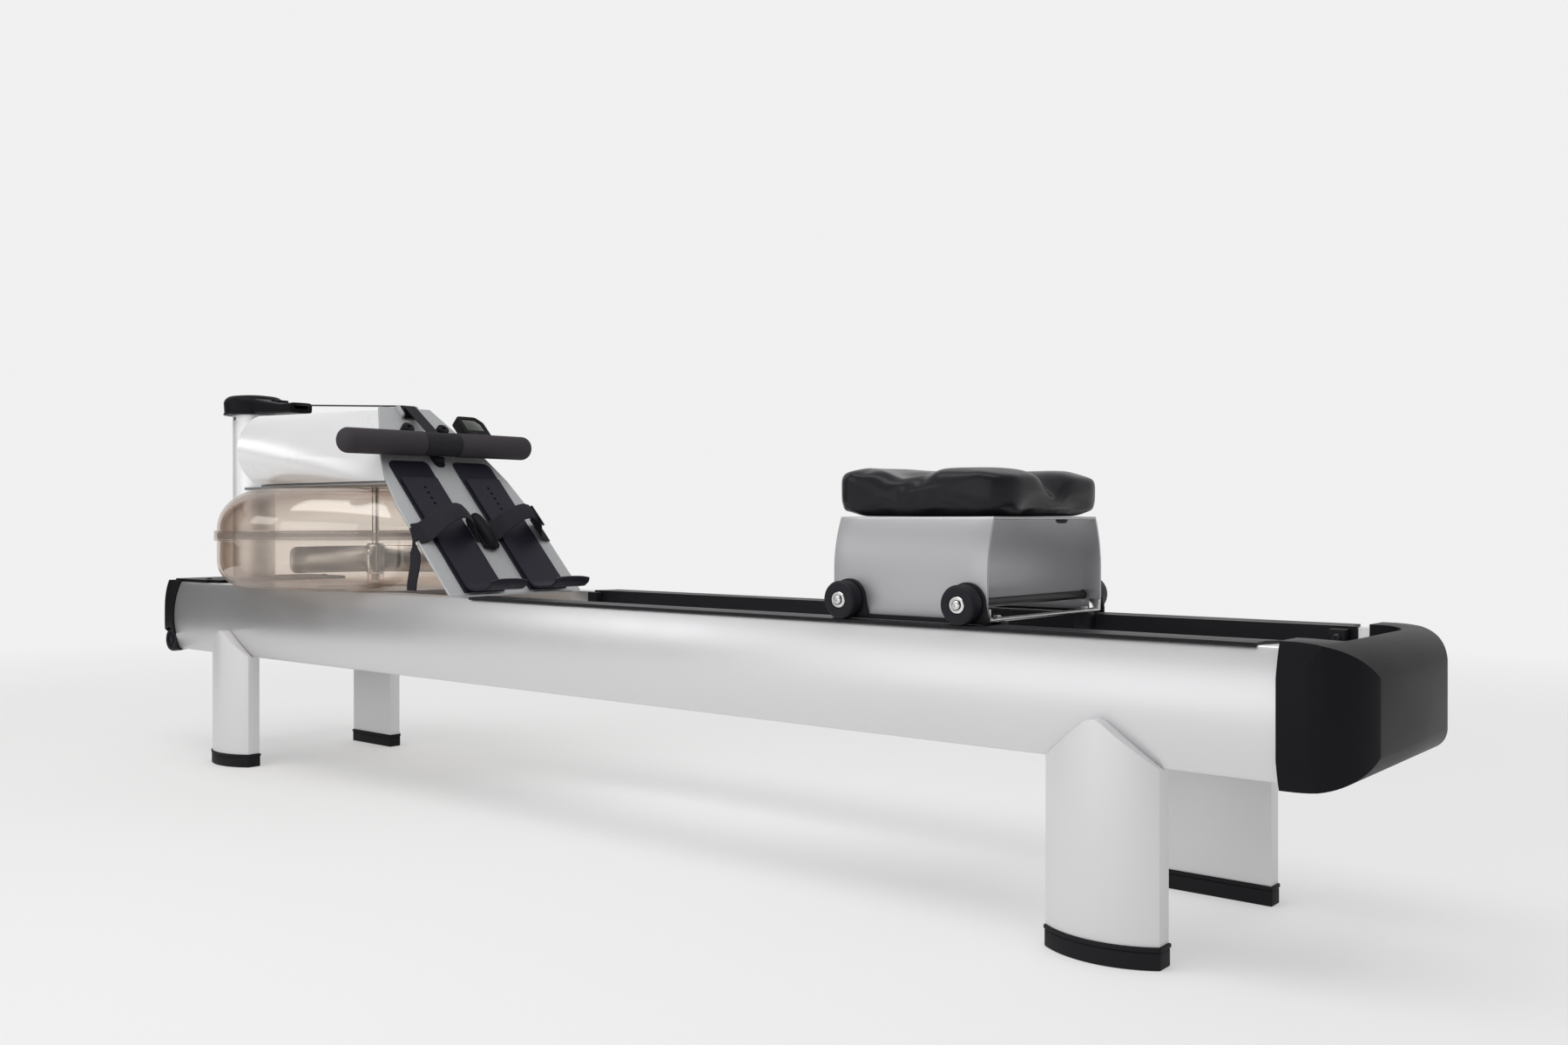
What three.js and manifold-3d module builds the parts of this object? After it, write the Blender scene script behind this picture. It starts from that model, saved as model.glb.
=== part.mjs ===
// Water-resistance rowing machine on four legs, millimetres, +Z up, +X towards the tail, +Y to the right.
// The origin is on the floor under the middle of the machine.
import * as THREE from "three";
import { mergeVertices } from "three/addons/utils/BufferGeometryUtils.js";
import Module from "manifold-3d";

const wasm = await Module();
wasm.setup();

// ---- driving dimensions -------------------------------------------------------------------------
const GAP = 0.3; // between two fixed faces that meet
const RUN = 0.4; // between a shaft and the hole that it turns in
const BIG = 4000; // reach of a cutting block

const RAIL_FRONT = -1020;
const RAIL_TAIL = 994;
const RAIL_BOTTOM = 188;
const RAIL_HEIGHT = 121.4;
const RAIL_TOP = RAIL_BOTTOM + RAIL_HEIGHT;
const RAIL_BULGE_Z = RAIL_BOTTOM + 55;
const RAIL_INNER_Y = 96;
const RAIL_TOP_Y = 141;
const RAIL_BULGE_Y = 154.4;
const RAIL_BOTTOM_Y = 143;
const RAIL_WALL = 3.5;
const LEDGE_DROP = 23.4; // from the rail's top down to the ledge that carries the track
const LEDGE_WIDTH = 11.6;

const TRACK_THICK = 3;
const TRACK_FLANGE = 2.2;
const TRACK_OUTER_Y = 145;
const TRACK_FRONT = -176;
const TRACK_TAIL = RAIL_TAIL - 12;
const STOP_LENGTH = 18;
const STOP_WIDTH = 15;
const STOP_TAIL_MARGIN = 7;

const LEG_HALF_LENGTH = 60;
const LEG_INNER_Y = 130;
const LEG_END_Y = 150;
const LEG_BULGE = 20;
const LEG_WALL = 4;
const LEG_APEX_Z = RAIL_BOTTOM + 48;
const LEG_EAVES_Z = RAIL_BOTTOM + 1;
const LEG_REAR_X = RAIL_TAIL - 170.7;
const LEG_FRONT_X = -826;
const FOOT_HEIGHT = 22;
const FOOT_OVERHANG = 2;

const BUMPER_DEPTH = 78;
const BUMPER_SHOULDER_X = 74;
const BUMPER_SHOULDER_Y = 106;
const BUMPER_PROUD = 5.5; // above and below the rail
const BUMPER_POCKET_X = 37;
const BUMPER_POCKET_Y = 103;

const CAP_DEPTH = 42;
const CAP_WALL = 5;
const CAP_PROUD = 2.5;
const CAP_PLATE = 5;
const CAP_PLATE_TAIL = RAIL_FRONT + 112;
const TRANSPORT_R = 21;
const TRANSPORT_WIDTH = 20;
const TRANSPORT_OUTER_Y = 150;
const TRANSPORT_Z = RAIL_BOTTOM + 15;
const TRANSPORT_AXLE_R = 5;

const MEMBER_WALL = 4;
const MEMBER_Z0 = RAIL_BOTTOM + 12;
const MEMBER_Z1 = RAIL_BOTTOM + 62;
const FRONT_MEMBER = {
  x0: RAIL_FRONT - 30,
  x1: RAIL_FRONT + 68,
  z0: RAIL_BOTTOM + 41,
  z1: RAIL_BOTTOM + 112,
};
const MIDDLE_MEMBER = { x0: -330, x1: -270, z0: MEMBER_Z0, z1: MEMBER_Z1 };
const REAR_MEMBER = { x0: RAIL_TAIL - 94, x1: RAIL_TAIL - 44, z0: MEMBER_Z0, z1: MEMBER_Z1 };

const TANK_R = 252;
const TANK_TAIL_X = -364;
const TANK_X = TANK_TAIL_X - TANK_R;
const TANK_CORNER = 46;
const TANK_SHOULDER_WIDTH = 72; // the upper rim is an ellipse in section, so that it clears the footboard
const TANK_SHOULDER_HEIGHT = 66;
const TANK_WALL = 4;
const TANK_SEAM_Z = RAIL_TOP + 87;
const TANK_TOP_Z = RAIL_TOP + 163.6;
const TANK_FLANGE_R = TANK_R + 4.5;
const TANK_FLANGE_HEIGHT = 8.3;
const TANK_SIDES = 44;
const SHAFT_R = 6;
const SHAFT_TOP_Z = RAIL_TOP + 286.6;

const PADDLE_COUNT = 6;
const PADDLE_R = 150;
const PADDLE_Z0 = RAIL_TOP + 24.6;
const PADDLE_HEIGHT = 44;
const PADDLE_THICK = 3;

const DRUM_CORE_R = 34;
const DRUM_FLANGE_R = 42;
const DRUM_Z = RAIL_TOP + 265.6;
const DRUM_HEIGHT = 32;

const DECK_THICK = 5;
const DECK_Z0 = TANK_TOP_Z + 5;
const DECK_Z1 = DECK_Z0 + DECK_THICK;
const DECK_HALF_WIDTH = 104;
const DECK_TONGUE = 34;

const HOOD_FRONT = -803;
const HOOD_TOP = DECK_Z1 + 120;
const HOOD_BULGE_Y = 150;
const HOOD_BULGE_Z = DECK_Z1 + 59.5;
const HOOD_SIDE_R = 65.6;
const HOOD_SHEET = 2.5;
const HOOD_TUCK = 3; // how far the hood stays inside the board's edge
const SLOT_HALF_WIDTH = 30;

const COLUMN_X = RAIL_FRONT + 2;
const COLUMN_R = 38;
const COLUMN_WALL = 3;
const COLUMN_TOP = RAIL_TOP + 310.3;
const PULLEY_R = 28;
const PULLEY_FLANGE_R = 31;
const PULLEY_HALF_WIDTH = 12.5;
const PULLEY_Z = RAIL_TOP + 302.6;
const PULLEY_PIN_R = 4;
const HEAD_R = 54;
const HEAD_TOP = RAIL_TOP + 349.6;
const HEAD_WALL = 4;
const ARM_TIP_X = -852;
const ARM_HALF_WIDTH = 22;

const BOARD_X = -235.5; // where the board's face meets the height BOARD_Z
const BOARD_Z = RAIL_TOP + 1.6;
const BOARD_ANGLE = THREE.MathUtils.degToRad(45.33);
const BOARD_THICK = 4;
const BOARD_LENGTH = 420;
const BOARD_SEAT = 18.9; // how far the board's foot laps over each rail
const BOARD_HALF_WIDTH = RAIL_INNER_Y + LEDGE_WIDTH + BOARD_SEAT;
const BOARD_TOP_INSET = 76.5; // how much narrower each side is at the top
const ROLLER_R = 10;
const ROLLER_S = 407.7;
const ROLLER_HALF_WIDTH = 13;
const ROLLER_PIN_R = 3;

const PAD_INNER_Y = 24;
const PAD_OUTER_Y = BOARD_HALF_WIDTH - 27.5;
const PAD_TOP_S = 287;
const PAD_THICK = 2;
const HEEL_INNER_Y = 28;
const HEEL_OUTER_Y = PAD_OUTER_Y - 4;
const HEEL_TOP_S = 244;
const HEEL_THICK = 3.2;
const HEEL_HOLE_COUNT = 5;
const HEEL_HOLE_PITCH = 12;
const HEEL_HOLE_R = 2.5;

const STRAP_WIDTH = 22;
const STRAP_THICK = 1.6;
const WEB_THICK = 2.5;
const WEB_WIDTH = 40;
const WEB_S = 125;
const WEB_RISE = 50;

const HANDLE_X = -435;
const HANDLE_Z = BOARD_Z + 234;
const HANDLE_HALF_LENGTH = 183.5;
const GRIP_R = 20;
const HANDLE_BAR_R = 12;
const WRAP_HALF_WIDTH = 34;
const WRAP_R = 19.5;

const MONITOR_Y0 = BOARD_HALF_WIDTH - 38;
const MONITOR_WIDTH = 52;
const MONITOR_S0 = 340;
const MONITOR_HEIGHT = 60;
const MONITOR_BACK_N = -12;
const MONITOR_FACE_N = 8;
const BUTTON_R = 5;
const BUTTON_TRAVEL = 1.5;

const SEAT_X = 581; // middle of the carriage
const ARCH_HALF_LENGTH = 101;
const ARCH_HALF_WIDTH = 127;
const ARCH_TOP_HALF_WIDTH = 113.5;
const ARCH_TOP = RAIL_TOP + 116.1;
const ARCH_BOTTOM = RAIL_TOP + 6.1;
const ARCH_STRAIGHT = 46.5; // height of the arch side that is upright
const ARCH_SHEET = 3;
const WHEEL_BASE = 155.4;
const WHEEL_R = 21;
const WHEEL_WIDTH = 18;
const WHEEL_BORE = 7.5;
const WHEEL_INNER_Y = 132;
const AXLE_R = 5;
const TIE_BAR_WIDTH = 14;
const TIE_BAR_THICK = 3;
const SHOE_BLOCK = 20;
const SHOE_WIDTH = 14;
const SHOE_LOW_Z = RAIL_TOP - 13.4;
const CUSHION_THICK = 46;
const CUSHION_HALF_WIDTH = 118;
const CUSHION_FRONT = 463;
const CUSHION_TAIL = 694;
const CUSHION_CORNER = 34;
const CUSHION_EDGE = 9;

// ---- finishes -----------------------------------------------------------------------------------
const finish = (color, roughness, metalness, extra = {}) =>
  new THREE.MeshStandardMaterial({ color, roughness, metalness, ...extra });
const satinAluminium = finish(0xc9cbce, 0.35, 0.85);
const silverPaint = finish(0xa9abae, 0.5, 0.6);
const brightSteel = finish(0xd8d9db, 0.2, 1);
const blackPlastic = finish(0x1b1b1d, 0.45, 0);
const blackRubber = finish(0x17171a, 0.8, 0);
const blackFoam = finish(0x2a2829, 0.9, 0);
const blackWebbing = finish(0x161618, 0.85, 0);
const cushionSkin = finish(0x1d1c1f, 0.35, 0);
const smokyClear = finish(0xc9b5a4, 0.1, 0, { transparent: true, opacity: 0.35 });
const displayGlass = finish(0x1c2419, 0.15, 0);

// ---- solids: joining and cutting ----------------------------------------------------------------
function toManifold(geometry) {
  const bare = geometry.clone();
  bare.deleteAttribute("normal");
  bare.deleteAttribute("uv");
  const merged = mergeVertices(bare, 1e-4);
  return new wasm.Manifold(
    new wasm.Mesh({
      numProp: 3,
      vertProperties: new Float32Array(merged.attributes.position.array),
      triVerts: new Uint32Array(merged.index.array),
    }),
  );
}

function toGeometry(manifold) {
  const mesh = manifold.getMesh();
  const geometry = new THREE.BufferGeometry();
  geometry.setAttribute("position", new THREE.BufferAttribute(mesh.vertProperties, 3));
  geometry.setIndex(new THREE.BufferAttribute(mesh.triVerts, 1));
  geometry.computeVertexNormals();
  return geometry;
}

const join = (...pieces) =>
  toGeometry(pieces.map(toManifold).reduce((whole, piece) => whole.add(piece)));
const cut = (body, ...tools) =>
  toGeometry(tools.map(toManifold).reduce((left, tool) => left.subtract(tool), toManifold(body)));
const common = (...pieces) =>
  toGeometry(pieces.map(toManifold).reduce((whole, piece) => whole.intersect(piece)));

// ---- outlines -----------------------------------------------------------------------------------
// Each corner is [x, y] or [x, y, radius]; a radius rounds it.
function rounded(corners, steps = 4) {
  const points = [];
  corners.forEach(([x, y, radius = 0], i) => {
    const here = new THREE.Vector2(x, y);
    if (radius === 0) return points.push(here);
    const [bx, by] = corners[(i + corners.length - 1) % corners.length];
    const [ax, ay] = corners[(i + 1) % corners.length];
    const back = new THREE.Vector2(bx - x, by - y).normalize();
    const ahead = new THREE.Vector2(ax - x, ay - y).normalize();
    const half = Math.acos(THREE.MathUtils.clamp(back.dot(ahead), -1, 1)) / 2;
    const reach = radius / Math.tan(half);
    const centre = back.clone().add(ahead).normalize().multiplyScalar(radius / Math.sin(half)).add(here);
    const from = here.clone().addScaledVector(back, reach).sub(centre).angle();
    const to = here.clone().addScaledVector(ahead, reach).sub(centre).angle();
    const turn = Math.atan2(Math.sin(to - from), Math.cos(to - from));
    for (let k = 0; k <= steps; k++) {
      const angle = from + (turn * k) / steps;
      const [x, y] = [centre.x + radius * Math.cos(angle), centre.y + radius * Math.sin(angle)];
      points.push(new THREE.Vector2(x, y));
    }
  });
  return points;
}

// Points of the arc that starts at a, passes through b and ends at c, without its two ends.
function arcThrough(a, b, c, steps) {
  const d = 2 * (a[0] * (b[1] - c[1]) + b[0] * (c[1] - a[1]) + c[0] * (a[1] - b[1]));
  const square = (p) => p[0] * p[0] + p[1] * p[1];
  const ux = (square(a) * (b[1] - c[1]) + square(b) * (c[1] - a[1]) + square(c) * (a[1] - b[1])) / d;
  const uy = (square(a) * (c[0] - b[0]) + square(b) * (a[0] - c[0]) + square(c) * (b[0] - a[0])) / d;
  const angle = (p) => Math.atan2(p[1] - uy, p[0] - ux);
  const wrap = (t) => Math.atan2(Math.sin(t), Math.cos(t));
  const turn = wrap(angle(b) - angle(a)) + wrap(angle(c) - angle(b));
  const radius = Math.hypot(a[0] - ux, a[1] - uy);
  return Array.from({ length: steps - 1 }, (_, k) => {
    const t = angle(a) + (turn * (k + 1)) / steps;
    return [ux + radius * Math.cos(t), uy + radius * Math.sin(t)];
  });
}

const shapeOf = (points) =>
  new THREE.Shape(points.map((p) => (p.isVector2 ? p : new THREE.Vector2(p[0], p[1]))));

// ---- extruded, turned and swept solids ----------------------------------------------------------
function place(geometry, xAxis, yAxis, zAxis, origin) {
  const matrix = new THREE.Matrix4().makeBasis(
    new THREE.Vector3(...xAxis),
    new THREE.Vector3(...yAxis),
    new THREE.Vector3(...zAxis),
  );
  return geometry.applyMatrix4(matrix.setPosition(...origin));
}

const prism = (shape, depth) =>
  new THREE.ExtrudeGeometry(shape, { depth, bevelEnabled: false, curveSegments: 10 });
// The outline is in (y, z) and runs from x0 to x1.
const alongX = (shape, x0, x1) => place(prism(shape, x1 - x0), [0, 1, 0], [0, 0, 1], [1, 0, 0], [x0, 0, 0]);
// The outline is in (x, z) and runs from y0 to y1.
const alongY = (shape, y0, y1) => place(prism(shape, y1 - y0), [1, 0, 0], [0, 0, 1], [0, -1, 0], [0, y1, 0]);
// The outline is in (x, y) and runs from z0 to z1.
const alongZ = (shape, z0, z1) => prism(shape, z1 - z0).translate(0, 0, z0);

const box = (x0, x1, y0, y1, z0, z1) =>
  new THREE.BoxGeometry(x1 - x0, y1 - y0, z1 - z0).translate((x0 + x1) / 2, (y0 + y1) / 2, (z0 + z1) / 2);
const rodY = (x, z, radius, y0, y1, sides = 20) =>
  new THREE.CylinderGeometry(radius, radius, y1 - y0, sides).translate(x, (y0 + y1) / 2, z);
const rodZ = (x, y, radius, z0, z1, sides = 24) =>
  new THREE.CylinderGeometry(radius, radius, z1 - z0, sides)
    .rotateX(Math.PI / 2)
    .translate(x, y, (z0 + z1) / 2);

// A solid of revolution about a vertical axis at x; the profile is a list of [radius, z].
const turnedZ = (profile, x, y, sides) =>
  new THREE.LatheGeometry(profile.map((p) => new THREE.Vector2(p[0], p[1])), sides)
    .rotateX(Math.PI / 2)
    .translate(x, y, 0);
// A solid of revolution about a line along Y; the profile is a list of [radius, y], y rising.
const turnedY = (profile, x, z, sides) =>
  new THREE.LatheGeometry(profile.map((p) => new THREE.Vector2(p[0], p[1])), sides).translate(x, 0, z);

const mirrored = (geometry) => {
  const other = geometry.clone().applyMatrix4(new THREE.Matrix4().makeScale(1, -1, 1));
  const plain = other.index ? other.toNonIndexed() : other;
  const position = plain.attributes.position;
  for (let i = 0; i < position.count; i += 3) {
    const [x, y, z] = [position.getX(i), position.getY(i), position.getZ(i)];
    position.setXYZ(i, position.getX(i + 1), position.getY(i + 1), position.getZ(i + 1));
    position.setXYZ(i + 1, x, y, z);
  }
  return plain;
};

// A closed skin over rings of equal length, each a list of Vector3, with flat ends.
function skin(rings) {
  const count = rings[0].length;
  const positions = rings.flat().flatMap((p) => [p.x, p.y, p.z]);
  const index = [];
  for (let r = 0; r + 1 < rings.length; r++) {
    for (let k = 0; k < count; k++) {
      const a = r * count + k;
      const b = r * count + ((k + 1) % count);
      index.push(a, b, b + count, a, b + count, a + count);
    }
  }
  const flat = (ring) => {
    const normal = new THREE.Vector3();
    ring.forEach((p, k) => normal.add(new THREE.Vector3().crossVectors(p, ring[(k + 1) % count])));
    const u = ring[1].clone().sub(ring[0]).normalize();
    const v = new THREE.Vector3().crossVectors(normal.normalize(), u);
    return THREE.ShapeUtils.triangulateShape(ring.map((p) => new THREE.Vector2(p.dot(u), p.dot(v))), []);
  };
  flat(rings[0]).forEach(([a, b, c]) => index.push(a, c, b));
  const last = (rings.length - 1) * count;
  flat(rings.at(-1)).forEach(([a, b, c]) => index.push(last + a, last + b, last + c));
  const geometry = new THREE.BufferGeometry();
  geometry.setAttribute("position", new THREE.Float32BufferAttribute(positions, 3));
  geometry.setIndex(index);
  geometry.computeVertexNormals();
  const solid = toManifold(geometry);
  if (solid.volume() > 0) return geometry;
  for (let i = 0; i < index.length; i += 3) [index[i], index[i + 1]] = [index[i + 1], index[i]];
  geometry.setIndex(index);
  return geometry;
}

// A flat band swept along stations, each with its centre and the directions of its width and thickness.
const band = (stations, width, thickness) =>
  skin(
    stations.map(({ at, across, through }) =>
      [[-1, -1], [1, -1], [1, 1], [-1, 1]].map(([i, j]) =>
        at.clone().addScaledVector(across, (i * width) / 2).addScaledVector(through, (j * thickness) / 2),
      ),
    ),
  );

// ---- the inclined footboard's own frame: s runs up its face, n stands out of it ------------------
const up = [-Math.cos(BOARD_ANGLE), Math.sin(BOARD_ANGLE)];
const out = [Math.sin(BOARD_ANGLE), Math.cos(BOARD_ANGLE)];
const onBoard = (s, n) => [BOARD_X + s * up[0] + n * out[0], BOARD_Z + s * up[1] + n * out[1]];
// The outline is in (y, s) and runs from n0 to n1.
const alongN = (shape, n0, n1) => {
  const [x, z] = onBoard(0, n0);
  return place(prism(shape, n1 - n0), [0, 1, 0], [up[0], 0, up[1]], [out[0], 0, out[1]], [x, 0, z]);
};
const boardBox = (y0, y1, s0, s1, n0, n1) =>
  alongN(shapeOf([[y0, s0], [y1, s0], [y1, s1], [y0, s1]]), n0, n1);

// Half the board's width at a height s: straight sides, then a curved taper to the narrow top.
const TAPER = [
  [190, BOARD_HALF_WIDTH],
  [247, BOARD_HALF_WIDTH - 7.5],
  [301, BOARD_HALF_WIDTH - 23.5],
  [363, BOARD_HALF_WIDTH - 51.5],
  [BOARD_LENGTH, BOARD_HALF_WIDTH - BOARD_TOP_INSET],
];
function boardHalfWidth(s) {
  if (s <= TAPER[0][0]) return BOARD_HALF_WIDTH;
  const i = Math.min(TAPER.findIndex(([t]) => s <= t), TAPER.length - 1);
  const [[s0, w0], [s1, w1]] = [TAPER[i - 1], TAPER[i]];
  return w0 + ((w1 - w0) * (s - s0)) / (s1 - s0);
}

// ---- assembly -----------------------------------------------------------------------------------
const machine = new THREE.Group();
function add(name, geometry, material, parent = machine) {
  const mesh = new THREE.Mesh(geometry, material);
  mesh.name = name;
  parent.add(mesh);
  return mesh;
}
const addPair = (name, geometry, material, parent) => {
  add("right_" + name, geometry, material, parent);
  add("left_" + name, mirrored(geometry), material, parent);
};

// The barrel-sided section that the rails, the bumper and the end cap share, for the right side.
function barrelSide(grow) {
  const top = [RAIL_TOP_Y + grow, RAIL_TOP + grow];
  const middle = [RAIL_BULGE_Y + grow, RAIL_BULGE_Z];
  const bottom = [RAIL_BOTTOM_Y + grow, RAIL_BOTTOM - grow];
  return [bottom, ...arcThrough(bottom, middle, top, 12), top];
}
const barrelWhole = (grow) => {
  const side = barrelSide(grow);
  return shapeOf([...side, ...side.map(([y, z]) => [-y, z]).reverse()]);
};

function rails() {
  const ledge = RAIL_TOP - LEDGE_DROP;
  const innerTopY = RAIL_INNER_Y + LEDGE_WIDTH;
  const side = barrelSide(0).slice(1, -1);
  const outline = rounded([
    [RAIL_INNER_Y, RAIL_BOTTOM, 2],
    [RAIL_BOTTOM_Y, RAIL_BOTTOM, 3],
    ...side,
    [RAIL_TOP_Y, RAIL_TOP, 3],
    [innerTopY, RAIL_TOP],
    [innerTopY, ledge],
    [RAIL_INNER_Y, ledge, 1.5],
  ]);
  const shape = shapeOf(outline);
  const hollow = [
    [RAIL_INNER_Y + RAIL_WALL, RAIL_BOTTOM + RAIL_WALL],
    [RAIL_BOTTOM_Y - RAIL_WALL, RAIL_BOTTOM + RAIL_WALL],
    ...side.map(([y, z]) => [y - RAIL_WALL, z]),
    [RAIL_TOP_Y - RAIL_WALL, RAIL_TOP - RAIL_WALL],
    [innerTopY + RAIL_WALL, RAIL_TOP - RAIL_WALL],
    [innerTopY + RAIL_WALL, ledge - RAIL_WALL],
    [RAIL_INNER_Y + RAIL_WALL, ledge - RAIL_WALL],
  ];
  const inside = (z) => z > RAIL_BOTTOM + RAIL_WALL + 1 && z < RAIL_TOP - RAIL_WALL - 1;
  const kept = hollow.filter(([, z], i) => i < 2 || i >= hollow.length - 4 || inside(z));
  shape.holes.push(new THREE.Path(kept.reverse().map(([y, z]) => new THREE.Vector2(y, z))));
  addPair("rail", alongX(shape, RAIL_FRONT, RAIL_TAIL), satinAluminium);
}

function crossMembers() {
  const reach = RAIL_INNER_Y - GAP;
  const beam = ({ x0, x1, z0, z1 }) =>
    cut(
      box(x0, x1, -reach, reach, z0, z1),
      box(x0 + MEMBER_WALL, x1 - MEMBER_WALL, -BIG, BIG, z0 + MEMBER_WALL, z1 - MEMBER_WALL),
    );
  add("front_cross_member", beam(FRONT_MEMBER), silverPaint);
  add("middle_cross_member", beam(MIDDLE_MEMBER), silverPaint);
  add("rear_cross_member", beam(REAR_MEMBER), silverPaint);
}

const trackTop = RAIL_TOP + GAP + TRACK_FLANGE;
const trackOuterFace = RAIL_INNER_Y + LEDGE_WIDTH - GAP;
const trackInnerFace = trackOuterFace - TRACK_THICK;
const stopFront = TRACK_FRONT;
const stopTail = TRACK_TAIL - STOP_TAIL_MARGIN - STOP_LENGTH;

function tracks() {
  const webFoot = RAIL_TOP - LEDGE_DROP + GAP;
  const web = box(TRACK_FRONT, TRACK_TAIL, trackInnerFace, trackOuterFace, webFoot, trackTop);
  const flange = box(TRACK_FRONT, TRACK_TAIL, trackInnerFace, TRACK_OUTER_Y, RAIL_TOP + GAP, trackTop);
  const stop = (x) =>
    box(x, x + STOP_LENGTH, trackInnerFace - STOP_WIDTH, trackInnerFace + 1, RAIL_TOP - 18, RAIL_TOP);
  addPair("track", join(web, flange, stop(stopFront), stop(stopTail)), blackPlastic);
}

// Half-moon plan of a leg, its flat face inwards, in (x, y) for the right side.
function halfMoon(grow) {
  const ends = LEG_HALF_LENGTH + grow;
  const shoulder = LEG_END_Y + grow * 0.5;
  const arc = arcThrough([ends, shoulder], [0, LEG_END_Y + LEG_BULGE + grow], [-ends, shoulder], 12);
  const inner = LEG_INNER_Y - grow;
  return shapeOf([[-ends, inner], [ends, inner], [ends, shoulder], ...arc, [-ends, shoulder]]);
}

function legs() {
  const roof = shapeOf(
    rounded([
      [-BIG, -BIG],
      [BIG, -BIG],
      [BIG, LEG_EAVES_Z],
      [LEG_HALF_LENGTH, LEG_EAVES_Z],
      [0, LEG_APEX_Z, 14],
      [-LEG_HALF_LENGTH, LEG_EAVES_Z],
      [-BIG, LEG_EAVES_Z],
    ]),
  );
  const stem = common(alongZ(halfMoon(0), FOOT_HEIGHT, LEG_APEX_Z + 10), alongY(roof, -BIG, BIG));
  const hollow = alongZ(halfMoon(-LEG_WALL), -BIG, RAIL_BOTTOM - 2 * LEG_WALL);
  const railRoom = alongX(barrelWhole(GAP), -BIG, BIG);
  const leg = cut(stem, hollow, railRoom);
  const foot = new THREE.ExtrudeGeometry(halfMoon(FOOT_OVERHANG - 1.5), {
    depth: FOOT_HEIGHT - GAP - 3,
    bevelThickness: 1.5,
    bevelSize: 1.5,
    bevelSegments: 1,
  }).translate(0, 0, 1.5);
  [["rear", LEG_REAR_X], ["front", LEG_FRONT_X]].forEach(([where, x]) => {
    addPair(where + "_leg", leg.clone().translate(x, 0, 0), satinAluminium);
    addPair(where + "_foot", foot.clone().translate(x, 0, 0), blackRubber);
  });
}

function tailBumper() {
  const start = RAIL_TAIL + GAP;
  const wide = RAIL_BULGE_Y + 2;
  const shoulder = [RAIL_TAIL + BUMPER_SHOULDER_X, BUMPER_SHOULDER_Y];
  const side = arcThrough([start, wide], [RAIL_TAIL + 42, wide - 11], shoulder, 6);
  const tail = arcThrough(shoulder, [RAIL_TAIL + BUMPER_DEPTH, 0], [shoulder[0], -shoulder[1]], 6);
  const near = side.map(([x, y]) => [x, -y]).reverse();
  const corner = [shoulder[0], -shoulder[1]];
  const plan = shapeOf([[start, -wide], [start, wide], ...side, shoulder, ...tail, corner, ...near]);
  const halfHeight = (RAIL_TOP - RAIL_BOTTOM) / 2 + BUMPER_PROUD;
  const middle = (RAIL_TOP + RAIL_BOTTOM) / 2;
  const round = Array.from({ length: 19 }, (_, k) => {
    const angle = -Math.PI / 2 + (Math.PI * k) / 18;
    const power = 2 / 3;
    const x = BUMPER_DEPTH * Math.cos(angle) ** power;
    const rise = Math.sign(Math.sin(angle)) * Math.abs(Math.sin(angle)) ** power;
    return [RAIL_TAIL + x, middle + halfHeight * rise];
  });
  const profile = shapeOf([[start - 5, middle - halfHeight], ...round, [start - 5, middle + halfHeight]]);
  const pocket = shapeOf(
    rounded([
      [RAIL_TAIL - 20, -BUMPER_POCKET_Y],
      [RAIL_TAIL + BUMPER_POCKET_X, -BUMPER_POCKET_Y, 22],
      [RAIL_TAIL + BUMPER_POCKET_X, BUMPER_POCKET_Y, 22],
      [RAIL_TAIL - 20, BUMPER_POCKET_Y],
    ]),
  );
  const block = common(
    alongZ(plan, -BIG, BIG),
    alongY(profile, -BIG, BIG),
    alongX(barrelWhole(BUMPER_PROUD), start, RAIL_TAIL + BUMPER_DEPTH + 5),
  );
  add("tail_bumper", cut(block, alongZ(pocket, -BIG, BIG)), blackPlastic);
}

const capFront = RAIL_FRONT - CAP_DEPTH;
const transportX = capFront + TRANSPORT_R;

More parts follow.
